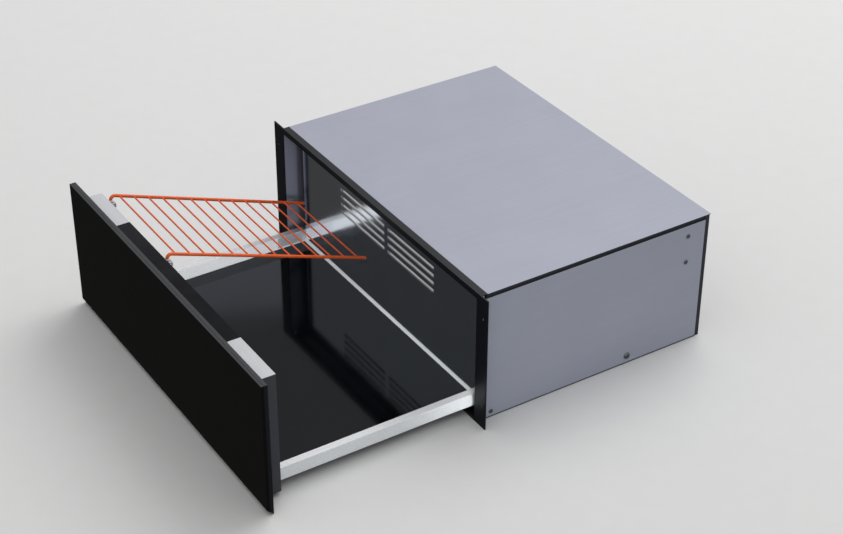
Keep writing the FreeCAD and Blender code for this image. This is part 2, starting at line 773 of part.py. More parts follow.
baffle = doc.addObject("PartDesign::Body", "baffle")
BAFFLE_FRONT = f"{PANEL_BACK} + baffle_gap"
BAFFLE_HALF = f"{HOUSING_HALF} - housing_sheet"
pad(
    baffle, "XZ",
    [rectangle((f"-({BAFFLE_HALF})", BAFFLE_HALF), ("baffle_bottom", "housing_top - housing_sheet"))],
    BAFFLE_FRONT, f"{BAFFLE_FRONT} + housing_sheet",
)
slots = []
for low in ("slot_split/2", "-slot_split/2 - slot_length"):
    for i in range(3):
        top = f"slot_top - {i + 0.5}*slot_pitch"
        slots.append(rectangle((low, f"{low} + slot_length"), (f"{top} - slot_height", top)))
pocket(baffle, "XZ", slots, [], f"{BAFFLE_FRONT} + housing_sheet/2")
LOUVRE_FRONT = f"{PANEL_BACK} + louvre_gap"
louvres = []
for low in ("slot_split/2", "-slot_split/2 - slot_length"):
    for i in range(4):
        foot = f"slot_top - {i}*slot_pitch - slot_height"
        rise = f"{foot} + baffle_gap - louvre_gap"
        outline = [
            (LOUVRE_FRONT, f"{foot} - louvre_sheet"), (BAFFLE_FRONT, f"{rise} - louvre_sheet"),
            (BAFFLE_FRONT, rise), (LOUVRE_FRONT, foot),
        ]
        span = (f"{low} - louvre_over", f"{low} + slot_length + louvre_over")
        louvres.append(prism(f"louvre_{len(louvres)}", "YZ", outline, *span))
node(fuse("baffle_louvres", [baffle] + louvres), "baffle_plate")

MOTOR_FRONT = f"{MOTOR_BACK} - motor_length"
motor_can = rod("motor_can", "y", "motor_radius", "motor_length", ("0", MOTOR_FRONT, "fan_height"))
SHAFT_LENGTH = "fan_width + 2*fan_disc + shaft_radius"
shaft_start = ("0", f"{MOTOR_FRONT} - ({SHAFT_LENGTH})", "fan_height")
motor_shaft = rod("motor_shaft", "y", "shaft_radius", SHAFT_LENGTH, shaft_start)
node(fuse("motor", [motor_can, motor_shaft]), "fan_motor")

# Blower wheel, drawn about its own centre: a disc, a hub bored for the shaft and swept blades in a ring.
wheel = doc.addObject("PartDesign::Body", "wheel")


def ring_pad(body, radius, low, high):
    sketch = sketch_on(body, "XZ", f"-({high})")
    add_circle(sketch, radius, ("0", "0"))
    feature = body.newObject("PartDesign::Pad", body.Name + "_ring")
    feature.Profile = sketch
    bind(feature, "Length", f"({high}) - ({low})")
    return feature


ring_pad(wheel, "fan_radius", "-fan_disc", "0")
ring_pad(wheel, "fan_hub", "-fan_width - fan_disc", "-fan_disc")
pocket(wheel, "XZ", [], [("shaft_radius + shaft_fit", ("0", "0"))], "-fan_width/2")
blade_points = [
    ("blade_inner", "0"), ("blade_inner", "blade_sheet"),
    ("fan_radius - blade_sheet", "blade_sweep + blade_sheet"), ("fan_radius - blade_sheet", "blade_sweep"),
]
blade = pad(wheel, "XZ", [blade_points], "-fan_width - fan_disc", "-fan_disc")
ring = wheel.newObject("PartDesign::PolarPattern", "wheel_blades")
ring.Originals = [blade]
ring.Axis = ([axis for axis in wheel.Origin.OriginFeatures if axis.Role == "Y_Axis"][0], [""])
ring.Angle = 360
ring.Occurrences = 16
wheel.Tip = ring
bind(wheel, "Placement.Base.y", f"{MOTOR_FRONT} - fan_disc")
bind(wheel, "Placement.Base.z", "fan_height")
node(wheel, "fan_wheel")


def tube(points, bend, radius):
    """Round tube along straight runs with one bend radius at every corner."""
    corners = [FreeCAD.Vector(*point) for point in points]
    edges = []
    start = corners[0]
    for before, corner, after in zip(corners, corners[1:], corners[2:]):
        back_way = (before - corner).normalize()
        on_way = (after - corner).normalize()
        half = back_way.getAngle(on_way) / 2
        reach = bend / math.tan(half)
        entry = corner + back_way * reach
        leave = corner + on_way * reach
        centre = corner + (back_way + on_way).normalize() * (bend / math.sin(half))
        middle = centre + (corner - centre).normalize() * bend
        edges.append(Part.LineSegment(start, entry).toShape())
        edges.append(Part.Arc(entry, middle, leave).toShape())
        start = leave
    edges.append(Part.LineSegment(start, corners[-1]).toShape())
    path = Part.Wire(edges)
    profile = Part.Wire([Part.Circle(corners[0], corners[1] - corners[0], radius).toShape()])
    return path.makePipeShell([profile], True, False)


# Tubular heater: one hairpin whose two ends stand on the housing's left side.
heater = doc.addObject("Part::Feature", "air_heater")
left = number(f"-({BAFFLE_HALF})")
reach = number("heater_reach")
depth = number(f"{BAFFLE_FRONT} + (housing_depth - baffle_gap)/2")
low = number("heater_height")
high = number("heater_height + 2*heater_bend + heater_bend/7")
heater.Shape = tube(
    [(left, depth, low), (reach, depth, low), (reach, depth, high), (left, depth, high)],
    number("heater_bend"), number("heater_radius"),
)
node(heater, "air_heater")

node(
    rod(
        "sensor", "y", "sensor_radius", "sensor_length",
        (f"{INNER_HALF} - 4*panel_return", PANEL_BACK, "housing_top - 4*panel_return"),
    ),
    "temperature_sensor",
)

# Wire rack: two rails whose front tips turn down, thirteen cross wires, all welded into one piece. The
# tips drop into clips behind the inner front box and the rear ends lie on pins of the rear panel.
rod_r = number("rod_radius")
left_x = number(f"-({INNER_HALF}) + rack_side")
rail_x = (left_x, left_x + number("rack_width"))
tip_y = number(f"{BOX_REAR} + rack_stand")
top_z = number(f"{BOX_TOP} + rack_rise")
end_y = number(f"{PANEL_FRONT} - rack_rear_gap")
end_z = top_z - number("rack_drop")
tip_z = top_z - number("rack_tip")
slope = FreeCAD.Vector(0, end_y - tip_y, end_z - top_z).normalize()
welded = None
for x in rail_x:
    rail = tube([(x, tip_y, tip_z), (x, tip_y, top_z), (x, end_y, end_z)], number("rack_bend"), rod_r)
    welded = rail if welded is None else welded.fuse(rail)
overhang = number("wire_overhang")
wire_length = number("rack_width") + 2 * overhang
across = FreeCAD.Vector(1, 0, 0)
wires = []
for i in range(int(number("wire_count"))):
    along = number("wire_first") + i * number("wire_pitch")
    start = FreeCAD.Vector(rail_x[0] - overhang, tip_y, top_z) + slope * along
    wires.append(Part.makeCylinder(number("wire_radius"), wire_length, start, across))
rack = doc.addObject("Part::Feature", "wire_rack")
rack.Shape = welded.fuse(wires)
node(rack, "wire_rack")

clips = []
pins = []
for i, x in enumerate(rail_x):
    clip_half = "(rod_radius + seat_gap + clip_wall)"
    clip_y = f"{BOX_REAR} + rack_stand"
    clip_low = f"{BOX_TOP} + rack_rise - rack_tip - seat_gap - clip_floor"
    clip_top = f"{BOX_TOP} + rack_rise - rack_tip + clip_grip"
    rail_place = f"-({INNER_HALF}) + rack_side + {i}*rack_width"
    clip = block(
        f"clip_{i}", (f"{rail_place} - {clip_half}", f"{rail_place} + {clip_half}"),
        (BOX_REAR, f"{clip_y} + {clip_half}"), (clip_low, clip_top),
    )
    bore = rod(
        f"clip_bore_{i}", "z", "rod_radius + seat_gap", f"{clip_top} - ({clip_low})",
        (rail_place, clip_y, f"{clip_low} + clip_floor"),
    )
    clips.append(cut(f"clip_cut_{i}", clip, [bore]))
    pin_z = f"{BOX_TOP} + rack_rise - rack_drop - seat_gap - pin_radius - {rod_r / slope.y:.3f}"
    pin_start = (rail_place, f"{PANEL_FRONT} - pin_length", pin_z)
    pins.append(rod(f"pin_{i}", "y", "pin_radius", "pin_length", pin_start))
node(group("clips", clips), "rack_clips")
node(group("pins", pins), "rack_pins")

sheet.clear("D1")
doc.recompute()

for thing in doc.Objects:
    if "Invalid" in thing.State or "Error" in thing.State:
        raise RuntimeError(f"{thing.Name} failed: {thing.State}")
os.makedirs("parts", exist_ok=True)
for thing in NODES:
    if thing.Shape.isNull() or not thing.Shape.isValid():
        raise RuntimeError(f"{thing.Label} has no valid shape")
for thing in NODES:
    thing.Shape.exportStep(f"parts/{thing.Label}.step")
    box = thing.Shape.BoundBox
    print(
        f"{thing.Label:20s} solids {len(thing.Shape.Solids)} volume {thing.Shape.Volume / 1000:9.2f} cm3  "
        f"x {box.XMin:.1f} {box.XMax:.1f}  y {box.YMin:.1f} {box.YMax:.1f}  z {box.ZMin:.1f} {box.ZMax:.1f}"
    )
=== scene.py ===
# %% [markdown]
# # A built-in warming drawer
# The drawer stands pulled open: a grey sheet-metal chassis with a thin black frame, a plain black front,
# satin walls round a dark glass base, a polished rear panel with air slots and an orange wire rack. The
# solids arrive as a fixed frame in metres. Every finish is laid over them, and the pieces that the eye
# rests on are modelled again with rounded edges, bent wire and real screw heads.

# %% Load the frame
import json
import math

import bmesh
import bpy
from mathutils import Matrix, Vector


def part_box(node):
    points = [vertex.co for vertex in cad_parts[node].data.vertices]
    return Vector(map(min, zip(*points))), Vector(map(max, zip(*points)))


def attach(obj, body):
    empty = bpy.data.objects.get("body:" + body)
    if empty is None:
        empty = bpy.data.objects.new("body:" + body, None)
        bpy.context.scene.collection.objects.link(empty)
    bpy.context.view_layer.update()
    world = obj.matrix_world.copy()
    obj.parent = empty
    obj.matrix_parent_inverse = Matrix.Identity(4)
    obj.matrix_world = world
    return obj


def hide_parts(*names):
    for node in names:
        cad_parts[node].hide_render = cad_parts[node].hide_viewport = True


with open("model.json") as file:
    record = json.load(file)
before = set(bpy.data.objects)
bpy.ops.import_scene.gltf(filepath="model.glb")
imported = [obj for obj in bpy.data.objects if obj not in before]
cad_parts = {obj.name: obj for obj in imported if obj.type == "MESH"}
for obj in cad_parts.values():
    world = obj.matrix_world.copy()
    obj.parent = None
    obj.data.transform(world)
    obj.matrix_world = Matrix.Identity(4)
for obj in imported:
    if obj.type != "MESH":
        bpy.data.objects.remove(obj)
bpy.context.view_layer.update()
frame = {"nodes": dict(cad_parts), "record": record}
nodes = frame["nodes"]
record = frame["record"]
body_of_node = {node: body for body, members in record["behaviour"]["bodies"].items() for node in members}
slot_of_node = {row["node"]: row["material_slot"] for row in record["subparts"]}
scene = bpy.context.scene
MM = 0.001

# %% [markdown]
# ## Camera
# The drawer is seen from the front right, well above it, through a long lens, so parallel edges converge
# only a little. A camera is placed by the three directions it sees: its right, its up and the way back
# towards the eye. Writing those as the columns of a matrix avoids a chain of turns.

# %% Camera
AZIMUTH = math.radians(57.39)
ELEVATION = math.radians(33.17)
ROLL = math.radians(0.19)
EYE = Vector((2.02391, -1.41332, 1.6509))
FOCAL_PIXELS = 1895.4
IMAGE_WIDTH = 843
SENSOR = 36.0

to_eye = Vector((
    math.sin(AZIMUTH) * math.cos(ELEVATION),
    -math.cos(AZIMUTH) * math.cos(ELEVATION),
    math.sin(ELEVATION),
))
level = Vector((math.cos(AZIMUTH), math.sin(AZIMUTH), 0))
rise = to_eye.cross(level)
right = level * math.cos(ROLL) + rise * math.sin(ROLL)
up = rise * math.cos(ROLL) - level * math.sin(ROLL)
camera_data = bpy.data.cameras.new("camera")
camera_data.sensor_fit = "HORIZONTAL"
camera_data.sensor_width = SENSOR
camera_data.lens = FOCAL_PIXELS / IMAGE_WIDTH * SENSOR
camera = bpy.data.objects.new("camera", camera_data)
scene.collection.objects.link(camera)
turn = Matrix((right, up, to_eye)).transposed()
camera.matrix_world = Matrix.Translation(EYE) @ turn.to_4x4()
scene.camera = camera
print("lens", round(camera_data.lens, 2), "mm")

# %% [markdown]
# ## Floor
# The floor is pale and seamless, so it is one plane that reaches far past the view. Black parts stay deep
# black in such a studio because they mirror a dark room, not the floor. The floor is therefore hidden from
# reflections, which is simpler than a tent of dark cloth round the set.

# %% Floor
FLOOR_SIZE = 160.0
scene.view_settings.view_transform = "Standard"
bpy.ops.object.select_all(action="DESELECT")
bpy.ops.mesh.primitive_plane_add(size=FLOOR_SIZE, location=(0, 0, 0))
floor = bpy.context.object
floor.name = "floor"
floor.visible_glossy = False
print("floor", FLOOR_SIZE, "m")

# %% [markdown]
# ## Sky
# A picture of a studio could light the scene, but a ramp is enough: the tone of the sky depends only on how
# high one looks. Below the horizon it is dark, which is what the black parts mirror. Above, it brightens
# towards the zenith and gives the soft contact shadows.

# %% Sky
SKY_STOPS = ((0.0, 0.045), (0.485, 0.05), (0.52, 0.40), (0.77, 0.32), (1.0, 1.0))
STRAIGHT_DOWN = -1.0
world = bpy.data.worlds.new("studio")
world.use_nodes = True
scene.world = world
sky = world.node_tree
sky_direction = sky.nodes.new("ShaderNodeTexCoord")
sky_parts = sky.nodes.new("ShaderNodeSeparateXYZ")
sky_height = sky.nodes.new("ShaderNodeMapRange")
sky_height.inputs["From Min"].default_value = STRAIGHT_DOWN
sky_ramp = sky.nodes.new("ShaderNodeValToRGB")
stops = sky_ramp.color_ramp.elements
for i, (place, tone) in enumerate(SKY_STOPS):
    stop = stops[i] if i < 2 else stops.new(place)
    stop.position = place
    stop.color = (tone, tone, tone, 1)
sky.links.new(sky_direction.outputs["Generated"], sky_parts.inputs["Vector"])
sky.links.new(sky_parts.outputs["Z"], sky_height.inputs["Value"])
sky.links.new(sky_height.outputs["Result"], sky_ramp.inputs["Fac"])
sky.links.new(sky_ramp.outputs["Color"], sky.nodes["Background"].inputs["Color"])
print("sky stops", len(stops))

# %% [markdown]
# ## Lamps
# The chassis top is bright, its side about half as bright, and the floor in front of the tall front is
# darkest. One large lamp overhead, leaning in from behind, gives that. A weak cool one from the right lifts
# the side, one from the front left is what the air slots mirror, and a low one behind on the left gives the
# glass base its sheen. A sun or a point would throw hard shadows; large lamps keep their edges soft.

# %% Lamps
def add_lamp(name, place, target, width, height, watts, tint=(1, 1, 1), beam=180):
    """Soft rectangular lamp that looks at a point; beam is its spread in degrees."""
    lamp_data = bpy.data.lights.new(name, "AREA")
    lamp_data.shape = "RECTANGLE"
    lamp_data.size = width
    lamp_data.size_y = height
    lamp_data.energy = watts
    lamp_data.color = tint
    lamp_data.spread = math.radians(beam)
    lamp = bpy.data.objects.new(name, lamp_data)
    scene.collection.objects.link(lamp)
    lamp.location = place
    lamp.rotation_euler = (Vector(target) - Vector(place)).to_track_quat("-Z", "Y").to_euler()
    return lamp


add_lamp("overhead", (-1.2, 2.6, 4.2), (0, -0.1, 0.1), 3.6, 3.6, 103)
right_fill = add_lamp("right_fill", (3.2, -0.9, 1.3), (0, -0.2, 0.1), 2.0, 1.4, 17, (0.74, 0.90, 1.0))
add_lamp("left_fill", (-2.8, -2.35, 2.0), (0, -0.15, 0.15), 2.4, 1.6, 2.1)
add_lamp("glass_glow", (-3.31, 1.08, 1.78), (-0.1, -0.35, 0.03), 2.2, 1.05, 3.8, (0.86, 0.88, 1.0))
print("lamps", len(bpy.data.lights))

# %% [markdown]
# ## Noise in real metres
# A real surface is never one colour: paint has a grain, steel has brush lines, glass has a haze of wiping.
# A photo of each could be laid on, but it would repeat and blur. A noise that is read in object coordinates
# does neither, and its scale is in real metres.

# %% Noise in real metres
def start_finish(name):
    """New node material, its node tree and its shader."""
    material = bpy.data.materials.new(name)
    material.use_nodes = True
    tree = material.node_tree
    return material, tree, tree.nodes["Principled BSDF"]


def noise(tree, scale, stretch=(1, 1, 1), detail=3.0, roughness=0.5):
    """Noise in object coordinates; scale counts features per metre before the stretch."""
    place = tree.nodes.new("ShaderNodeTexCoord")
    mapping = tree.nodes.new("ShaderNodeMapping")
    mapping.inputs["Scale"].default_value = stretch
    field = tree.nodes.new("ShaderNodeTexNoise")
    field.inputs["Scale"].default_value = scale
    field.inputs["Detail"].default_value = detail
    field.inputs["Roughness"].default_value = roughness
    tree.links.new(place.outputs["Object"], mapping.inputs["Vector"])
    tree.links.new(mapping.outputs["Vector"], field.inputs["Vector"])
    return field.outputs["Fac"]


print("noise ready")

# %% [markdown]
# ## From noise to colour
# A ramp turns a noise into a colour between a dark and a light tone. Noise values crowd round one half, so
# the ramp begins and ends well inside zero and one. Where a surface has two patterns, such as brush lines
# and a grain, the second one darkens the colour that the first one gives.

# %% From noise to colour
RAMP_FROM, RAMP_TO = 0.35, 0.65
# The Mix node has sockets for several kinds of value; these are the ones for colours.
MIX_FIRST, MIX_SECOND, MIX_RESULT = 6, 7, 2


def blend_colours(tree, value, dark, light):
    ramp = tree.nodes.new("ShaderNodeValToRGB")
    ramp.color_ramp.elements[0].position = RAMP_FROM
    ramp.color_ramp.elements[0].color = (*dark, 1)
    ramp.color_ramp.elements[1].position = RAMP_TO
    ramp.color_ramp.elements[1].color = (*light, 1)
    tree.links.new(value, ramp.inputs["Fac"])
    return ramp.outputs["Color"]


def darken(tree, colour, value, low):
    """Multiply a colour by a grey that follows a noise, from low up to one."""
    mix = tree.nodes.new("ShaderNodeMix")
    mix.data_type = "RGBA"
    mix.blend_type = "MULTIPLY"
    mix.inputs["Factor"].default_value = 1.0
    tree.links.new(colour, mix.inputs[MIX_FIRST])
    tree.links.new(blend_colours(tree, value, (low, low, low), (1, 1, 1)), mix.inputs[MIX_SECOND])
    return mix.outputs[MIX_RESULT]


print("ramp from", RAMP_FROM, "to", RAMP_TO)

# %% [markdown]
# ## From noise to roughness and relief
# The same noise can steer the gloss and a fine relief: a range turns it into a roughness, and a bump turns
# it into small hills and hollows. A shape that is large enough to be seen from the side is not left to the
# bump but modelled.

# %% From noise to roughness and relief
RANGE_FROM, RANGE_TO = 0.3, 0.7


def spread(tree, value, low, high):
    span = tree.nodes.new("ShaderNodeMapRange")
    span.inputs["From Min"].default_value = RANGE_FROM
    span.inputs["From Max"].default_value = RANGE_TO
    span.inputs["To Min"].default_value = low
    span.inputs["To Max"].default_value = high
    tree.links.new(value, span.inputs["Value"])
    return span.outputs["Result"]


def relief(tree, value, strength, height):
    bump = tree.nodes.new("ShaderNodeBump")
    bump.inputs["Strength"].default_value = strength
    bump.inputs["Distance"].default_value = height
    tree.links.new(value, bump.inputs["Height"])
    return bump.outputs["Normal"]


print("range from", RANGE_FROM, "to", RANGE_TO)

# %% [markdown]
# ## Grey sheet metal
# The chassis is thin coated sheet: an even cool grey with a fine grain and hardly any gloss. From close by
# the coat shows a slow mottling and faint rolling lines along its depth. One noise would give either the
# grain or the mottling, so three are mixed, two of them very weakly.

# %% Grey sheet metal
SHEET_GRAIN = 1500
SHEET_ROLLING = 240
SHEET_MOTTLE = 9


def make_grey_sheet():
    material, tree, shader = start_finish("grey_sheet")
    grain = noise(tree, SHEET_GRAIN, detail=2.0)
    rolling = noise(tree, SHEET_ROLLING, stretch=(1, 0.03, 1), detail=2.0)
    mottle = noise(tree, SHEET_MOTTLE, detail=2.0)
    tone = blend_colours(tree, mottle, (0.398, 0.410, 0.488), (0.413, 0.425, 0.504))
    tone = darken(tree, tone, grain, 0.94)
    tone = darken(tree, tone, rolling, 0.975)
    tree.links.new(tone, shader.inputs["Base Color"])
    tree.links.new(spread(tree, grain, 0.46, 0.58), shader.inputs["Roughness"])
    tree.links.new(relief(tree, grain, strength=0.1, height=0.03 * MM), shader.inputs["Normal"])
    shader.inputs["Metallic"].default_value = 0.2
    return material


grey_sheet = make_grey_sheet()
print("made", grey_sheet.name)

# %% [markdown]
# ## Coatings
# The frame, the front and the carrier are black, yet they don't look alike: the front is printed glass with
# a deep even black, the frame has a fine powder grain, and the upper faces of the front and the carrier are
# a dark grey, partly the ground edge of the glass and partly painted light from above. The painted shade of
# grooves and gaps, the painted light on the back's side edges, the inner box and the painted shade on the
# inner faces of the side panels are greys of the same kind. All have a single grain, so one helper with a
# few values makes them.

# %% Coatings
COAT_RELIEF = 0.05 * MM


def simple_finish(name, dark, light, rough, grain, metal=0.0, bump=0.15, shine=0.5):
    """Finish whose colour, roughness and relief all follow one grain."""
    material, tree, shader = start_finish(name)
    field = noise(tree, grain)
    tree.links.new(blend_colours(tree, field, dark, light), shader.inputs["Base Color"])
    tree.links.new(spread(tree, field, rough[0], rough[1]), shader.inputs["Roughness"])
    tree.links.new(relief(tree, field, bump, COAT_RELIEF), shader.inputs["Normal"])
    shader.inputs["Metallic"].default_value = metal
    shader.inputs["Specular IOR Level"].default_value = shine
    return material


frame_black = simple_finish(
    "frame_black", (0.0072, 0.008, 0.0112), (0.0118, 0.013, 0.0175), (0.38, 0.5), 1400, shine=0.29,
)
front_black = simple_finish(
    "front_black", (0.0047, 0.0040, 0.0034), (0.0064, 0.0056, 0.0048), (0.3, 0.42), 700,
    bump=0.04, shine=0.18,
)
# Upper faces: partly a ground glass edge, partly painted light from above.
ground_edge_top_light = simple_finish("ground_edge_top_light", (0.021, 0.022, 0.025), (0.030, 0.031, 0.035), (0.35, 0.5), 1200)
# Painted shade in the cover groove and the foot gap, and painted light on the back panel's side edges.
painted_shade_and_light_grey = simple_finish("painted_shade_and_light_grey", (0.031, 0.032, 0.038), (0.044, 0.046, 0.053), (0.45, 0.6), 1300)
box_grey = simple_finish("box_grey", (0.050, 0.051, 0.060), (0.064, 0.066, 0.076), (0.42, 0.55), 1200)
# Painted shade for the inner faces of the side panels.
painted_shade_inner_grey = simple_finish("painted_shade_inner_grey", (0.245, 0.256, 0.325), (0.270, 0.281, 0.355), (0.46, 0.58), 1400)
print("coatings made")

# %% [markdown]
# ## Satin steel
# The walls, the end caps and the strip at the rear are a pale satin metal, brushed along their length. Long
# thin noise gives the brush lines, and a slow cloud in the roughness keeps the broad highlight from looking
# computed. A fully metallic shader would mirror the dark room, so part of the brightness is left diffuse,
# as on a blasted and lacquered surface. Only the polished end of a wall and the louvres are bare metal.

# %% Satin steel
BRUSH_LINES = 900
SATIN_GRAIN = 620
SATIN_CLOUDS = 22
LINE_TONE = 0.94
CLOUD_SWING = 0.04
ALONG_X = (0.02, 1, 1)
ALONG_Y = (1, 0.02, 1)


def make_satin(name, stretch, tone, metal, rough, speck=0.88):
    """Brushed metal; speck is how dark its blasted grain gets."""
    material, tree, shader = start_finish(name)
    lines = noise(tree, BRUSH_LINES, stretch=stretch, detail=2.0)
    cloud = noise(tree, SATIN_CLOUDS, detail=2.0)
    grain = noise(tree, SATIN_GRAIN, detail=2.0, roughness=0.7)
    dark = tuple(LINE_TONE * value for value in tone)
    blasted = darken(tree, blend_colours(tree, lines, dark, tone), grain, speck)
    tree.links.new(blasted, shader.inputs["Base Color"])
    tree.links.new(spread(tree, cloud, rough - CLOUD_SWING, rough + CLOUD_SWING), shader.inputs["Roughness"])
    tree.links.new(relief(tree, lines, strength=0.10, height=0.02 * MM), shader.inputs["Normal"])
    shader.inputs["Metallic"].default_value = metal
    return material


satin_along = make_satin("satin_along_y", ALONG_Y, (0.925, 0.93, 0.945), 0.05, 0.36)
# A darker copy for the walls' upper faces: painted shade against the light from above.
painted_shade_satin_top = make_satin("painted_shade_satin_top", ALONG_Y, (0.70, 0.705, 0.72), 0.05, 0.36)
satin_polish = make_satin("satin_polish", ALONG_Y, (0.80, 0.80, 0.84), 1.0, 0.52, speck=0.96)
satin_across = make_satin("satin_along_x", ALONG_X, (0.70, 0.705, 0.73), 0.1, 0.36)
satin_strip = make_satin("satin_strip", ALONG_X, (0.92, 0.925, 0.94), 0.05, 0.36)
louvre_sheet = make_satin("louvre_sheet", (0.05, 1, 1), (0.97, 0.975, 0.98), 0.9, 0.2, speck=0.98)
zinc = simple_finish("zinc", (0.42, 0.43, 0.45), (0.54, 0.55, 0.57), (0.34, 0.5), 90, metal=1.0, bump=0.05)
print("metals made")

# %% [markdown]
# ## Dark glass and the polished rear panel
# The base is dark glass over the heater and mirrors the frame and the panel behind it. The panel is
# polished steel: it looks nearly black where it mirrors the dark glass and shows the pale wall as a bright
# band. Both are nearly smooth; a slow haze in the roughness stands for wiping marks.

# %% Dark glass and polished panel
def make_gloss(name, dark, light, rough, haze, metal=0.0, shine=0.5, tint=(1, 1, 1)):
    """Nearly smooth surface; haze counts the wiping marks per metre."""
    material, tree, shader = start_finish(name)
    smear = noise(tree, haze, stretch=(1, 0.5, 1), detail=2.0)
    tree.links.new(blend_colours(tree, smear, dark, light), shader.inputs["Base Color"])
    tree.links.new(spread(tree, smear, rough[0], rough[1]), shader.inputs["Roughness"])
    shader.inputs["Metallic"].default_value = metal
    shader.inputs["Specular IOR Level"].default_value = shine
    shader.inputs["Specular Tint"].default_value = (*tint, 1)
    return material


base_glass = make_gloss(
    "base_glass", (0.0022, 0.0026, 0.0036), (0.0032, 0.0037, 0.0048), (0.06, 0.085), 16,
    shine=0.34, tint=(0.78, 0.88, 1.0),
)
rear_steel = make_gloss("rear_steel", (0.83, 0.87, 0.93), (0.87, 0.91, 0.97), (0.11, 0.15), 14, metal=1.0)
control_gloss = make_gloss(
    "control_gloss", (0.004, 0.004, 0.006), (0.006, 0.006, 0.0085), (0.12, 0.2), 30, shine=0.14,
)
print("glasses made")

# %% [markdown]
# ## Orange coating
# The rack's wire is dip-coated. The coat is even in colour, glossy and slightly uneven to the touch, which a
# small relief shows as broken highlights along each wire. A smooth coat would look like plastic.

# %% Orange coating
rack_orange = simple_finish(
    "rack_orange", (0.86, 0.115, 0.022), (0.93, 0.145, 0.032), (0.32, 0.45), 420, bump=0.1, shine=0.35,
)
print("made", rack_orange.name)

# %% [markdown]
# ## Small finishes
# The screws are dull steel, and the hidden parts get the plain finish of their trade: rubber, nylon, board
# lacquer, fibre, mica, brass. The helper for coatings makes each of them from two tones, a roughness and
# the size of its grain.

# %% Small finishes
screw_steel = simple_finish(
    "screw_steel", (0.15, 0.155, 0.165), (0.23, 0.235, 0.245), (0.35, 0.5), 700, metal=0.6,
)
black_rubber = simple_finish("black_rubber", (0.014, 0.014, 0.014), (0.022, 0.022, 0.022), (0.7, 0.85), 900)
dark_plastic = simple_finish(
    "dark_plastic", (0.022, 0.022, 0.024), (0.034, 0.034, 0.037), (0.5, 0.65), 1100,
)
white_nylon = simple_finish("white_nylon", (0.68, 0.67, 0.62), (0.76, 0.75, 0.71), (0.45, 0.6), 700)
board_green = simple_finish("board_green", (0.012, 0.085, 0.035), (0.022, 0.13, 0.055), (0.3, 0.45), 260)
fibre_mat = simple_finish("fibre_mat", (0.58, 0.56, 0.50), (0.74, 0.72, 0.66), (0.85, 0.95), 500, bump=0.5)
track_foil = simple_finish(
    "track_foil", (0.30, 0.27, 0.24), (0.43, 0.40, 0.36), (0.3, 0.45), 220, metal=0.9,
)
mica_sheet = simple_finish("mica_sheet", (0.27, 0.22, 0.15), (0.38, 0.33, 0.24), (0.3, 0.5), 180)
motor_grey = simple_finish(
    "motor_grey", (0.16, 0.16, 0.17), (0.22, 0.22, 0.23), (0.4, 0.55), 600, metal=0.4,
)
fan_sheet = simple_finish("fan_sheet", (0.55, 0.56, 0.58), (0.66, 0.67, 0.69), (0.3, 0.42), 300, metal=1.0)
heater_tube = simple_finish(
    "heater_tube", (0.16, 0.13, 0.12), (0.30, 0.28, 0.27), (0.35, 0.55), 60, metal=0.9,
)
sensor_brass = simple_finish(
    "sensor_brass", (0.52, 0.37, 0.13), (0.66, 0.50, 0.22), (0.3, 0.45), 400, metal=1.0,
)
print("finishes", len(bpy.data.materials))

# %% [markdown]
# ## Dressing the solids
# Each solid carries the name of its material slot, so one table of slots dresses every solid at once, which
# is surer than going through them by name. A few solids share a slot with others and differ only in the way
# they are brushed or coated; a second, short table names those.

# %% Dress the nodes
finish_of_slot = {
    "frame_black": frame_black, "sheet_grey": grey_sheet, "front_black_glass": front_black,
    "carrier_black": ground_edge_top_light, "box_grey": box_grey, "control_glass": control_gloss,
    "satin_steel": satin_along, "base_glass": base_glass, "rear_steel": rear_steel,
    "bright_steel": louvre_sheet, "zinc_steel": zinc, "screw_steel": screw_steel,
    "black_rubber": black_rubber, "dark_plastic": dark_plastic, "white_nylon": white_nylon,
    "circuit_board": board_green, "insulation": fibre_mat, "heater_mica": mica_sheet,
    "motor_metal": motor_grey, "fan_aluminium": fan_sheet, "heater_steel": heater_tube,
    "sensor_brass": sensor_brass, "rack_orange": rack_orange,
}
finish_of_node = {
    "end_cap_left": satin_across, "end_cap_right": satin_across, "rear_strip": satin_strip,
    "rack_clips": satin_across, "rack_pins": box_grey,
}


def node_finish(name):
    return finish_of_node.get(name, finish_of_slot[slot_of_node[name]])


for name, node in nodes.items():
    if not node.material_slots:
        node.data.materials.append(None)
    for holder in node.material_slots:
        holder.material = node_finish(name)
print("dressed", len(nodes))

# %% [markdown]
# ## Copying a solid
# Where a solid's shape is right and only its edges are too sharp, a copy of it is the best start. A solid's
# mesh is loose triangles, so the copy's corners are merged and its flat faces are joined again. The solid
# itself is never changed.

# %% Copying a solid
MERGE_WITHIN = 0.002 * MM
FLAT_WITHIN = math.radians(0.5)


def only(piece):
    """Make a piece the one selected object."""
    bpy.ops.object.select_all(action="DESELECT")
    bpy.context.view_layer.objects.active = piece
    piece.select_set(True)


def copy_of_node(name):
    """A separate piece with a node's mesh, its loose triangles merged into flat faces again."""
    piece = nodes[name].copy()
    piece.data = nodes[name].data.copy()
    piece.parent = None
    for key in list(piece.keys()):
        del piece[key]
    piece.name = name + "_shape"
    scene.collection.objects.link(piece)
    only(piece)
    bpy.ops.object.mode_set(mode="EDIT")
    bpy.ops.mesh.select_all(action="SELECT")
    bpy.ops.mesh.remove_doubles(threshold=MERGE_WITHIN)
    bpy.ops.mesh.dissolve_limited(angle_limit=FLAT_WITHIN)
    bpy.ops.object.mode_set(mode="OBJECT")
    bpy.ops.object.shade_flat()
    return piece


print("corners merge within", MERGE_WITHIN, "m")

# %% [markdown]
# ## Standing for a solid
# A finished piece takes the place of a solid: it gets the solid's finish and moves with the same body, and
# the solid is hidden. One helper does all of it, so no piece can be left behind when the drawer moves.

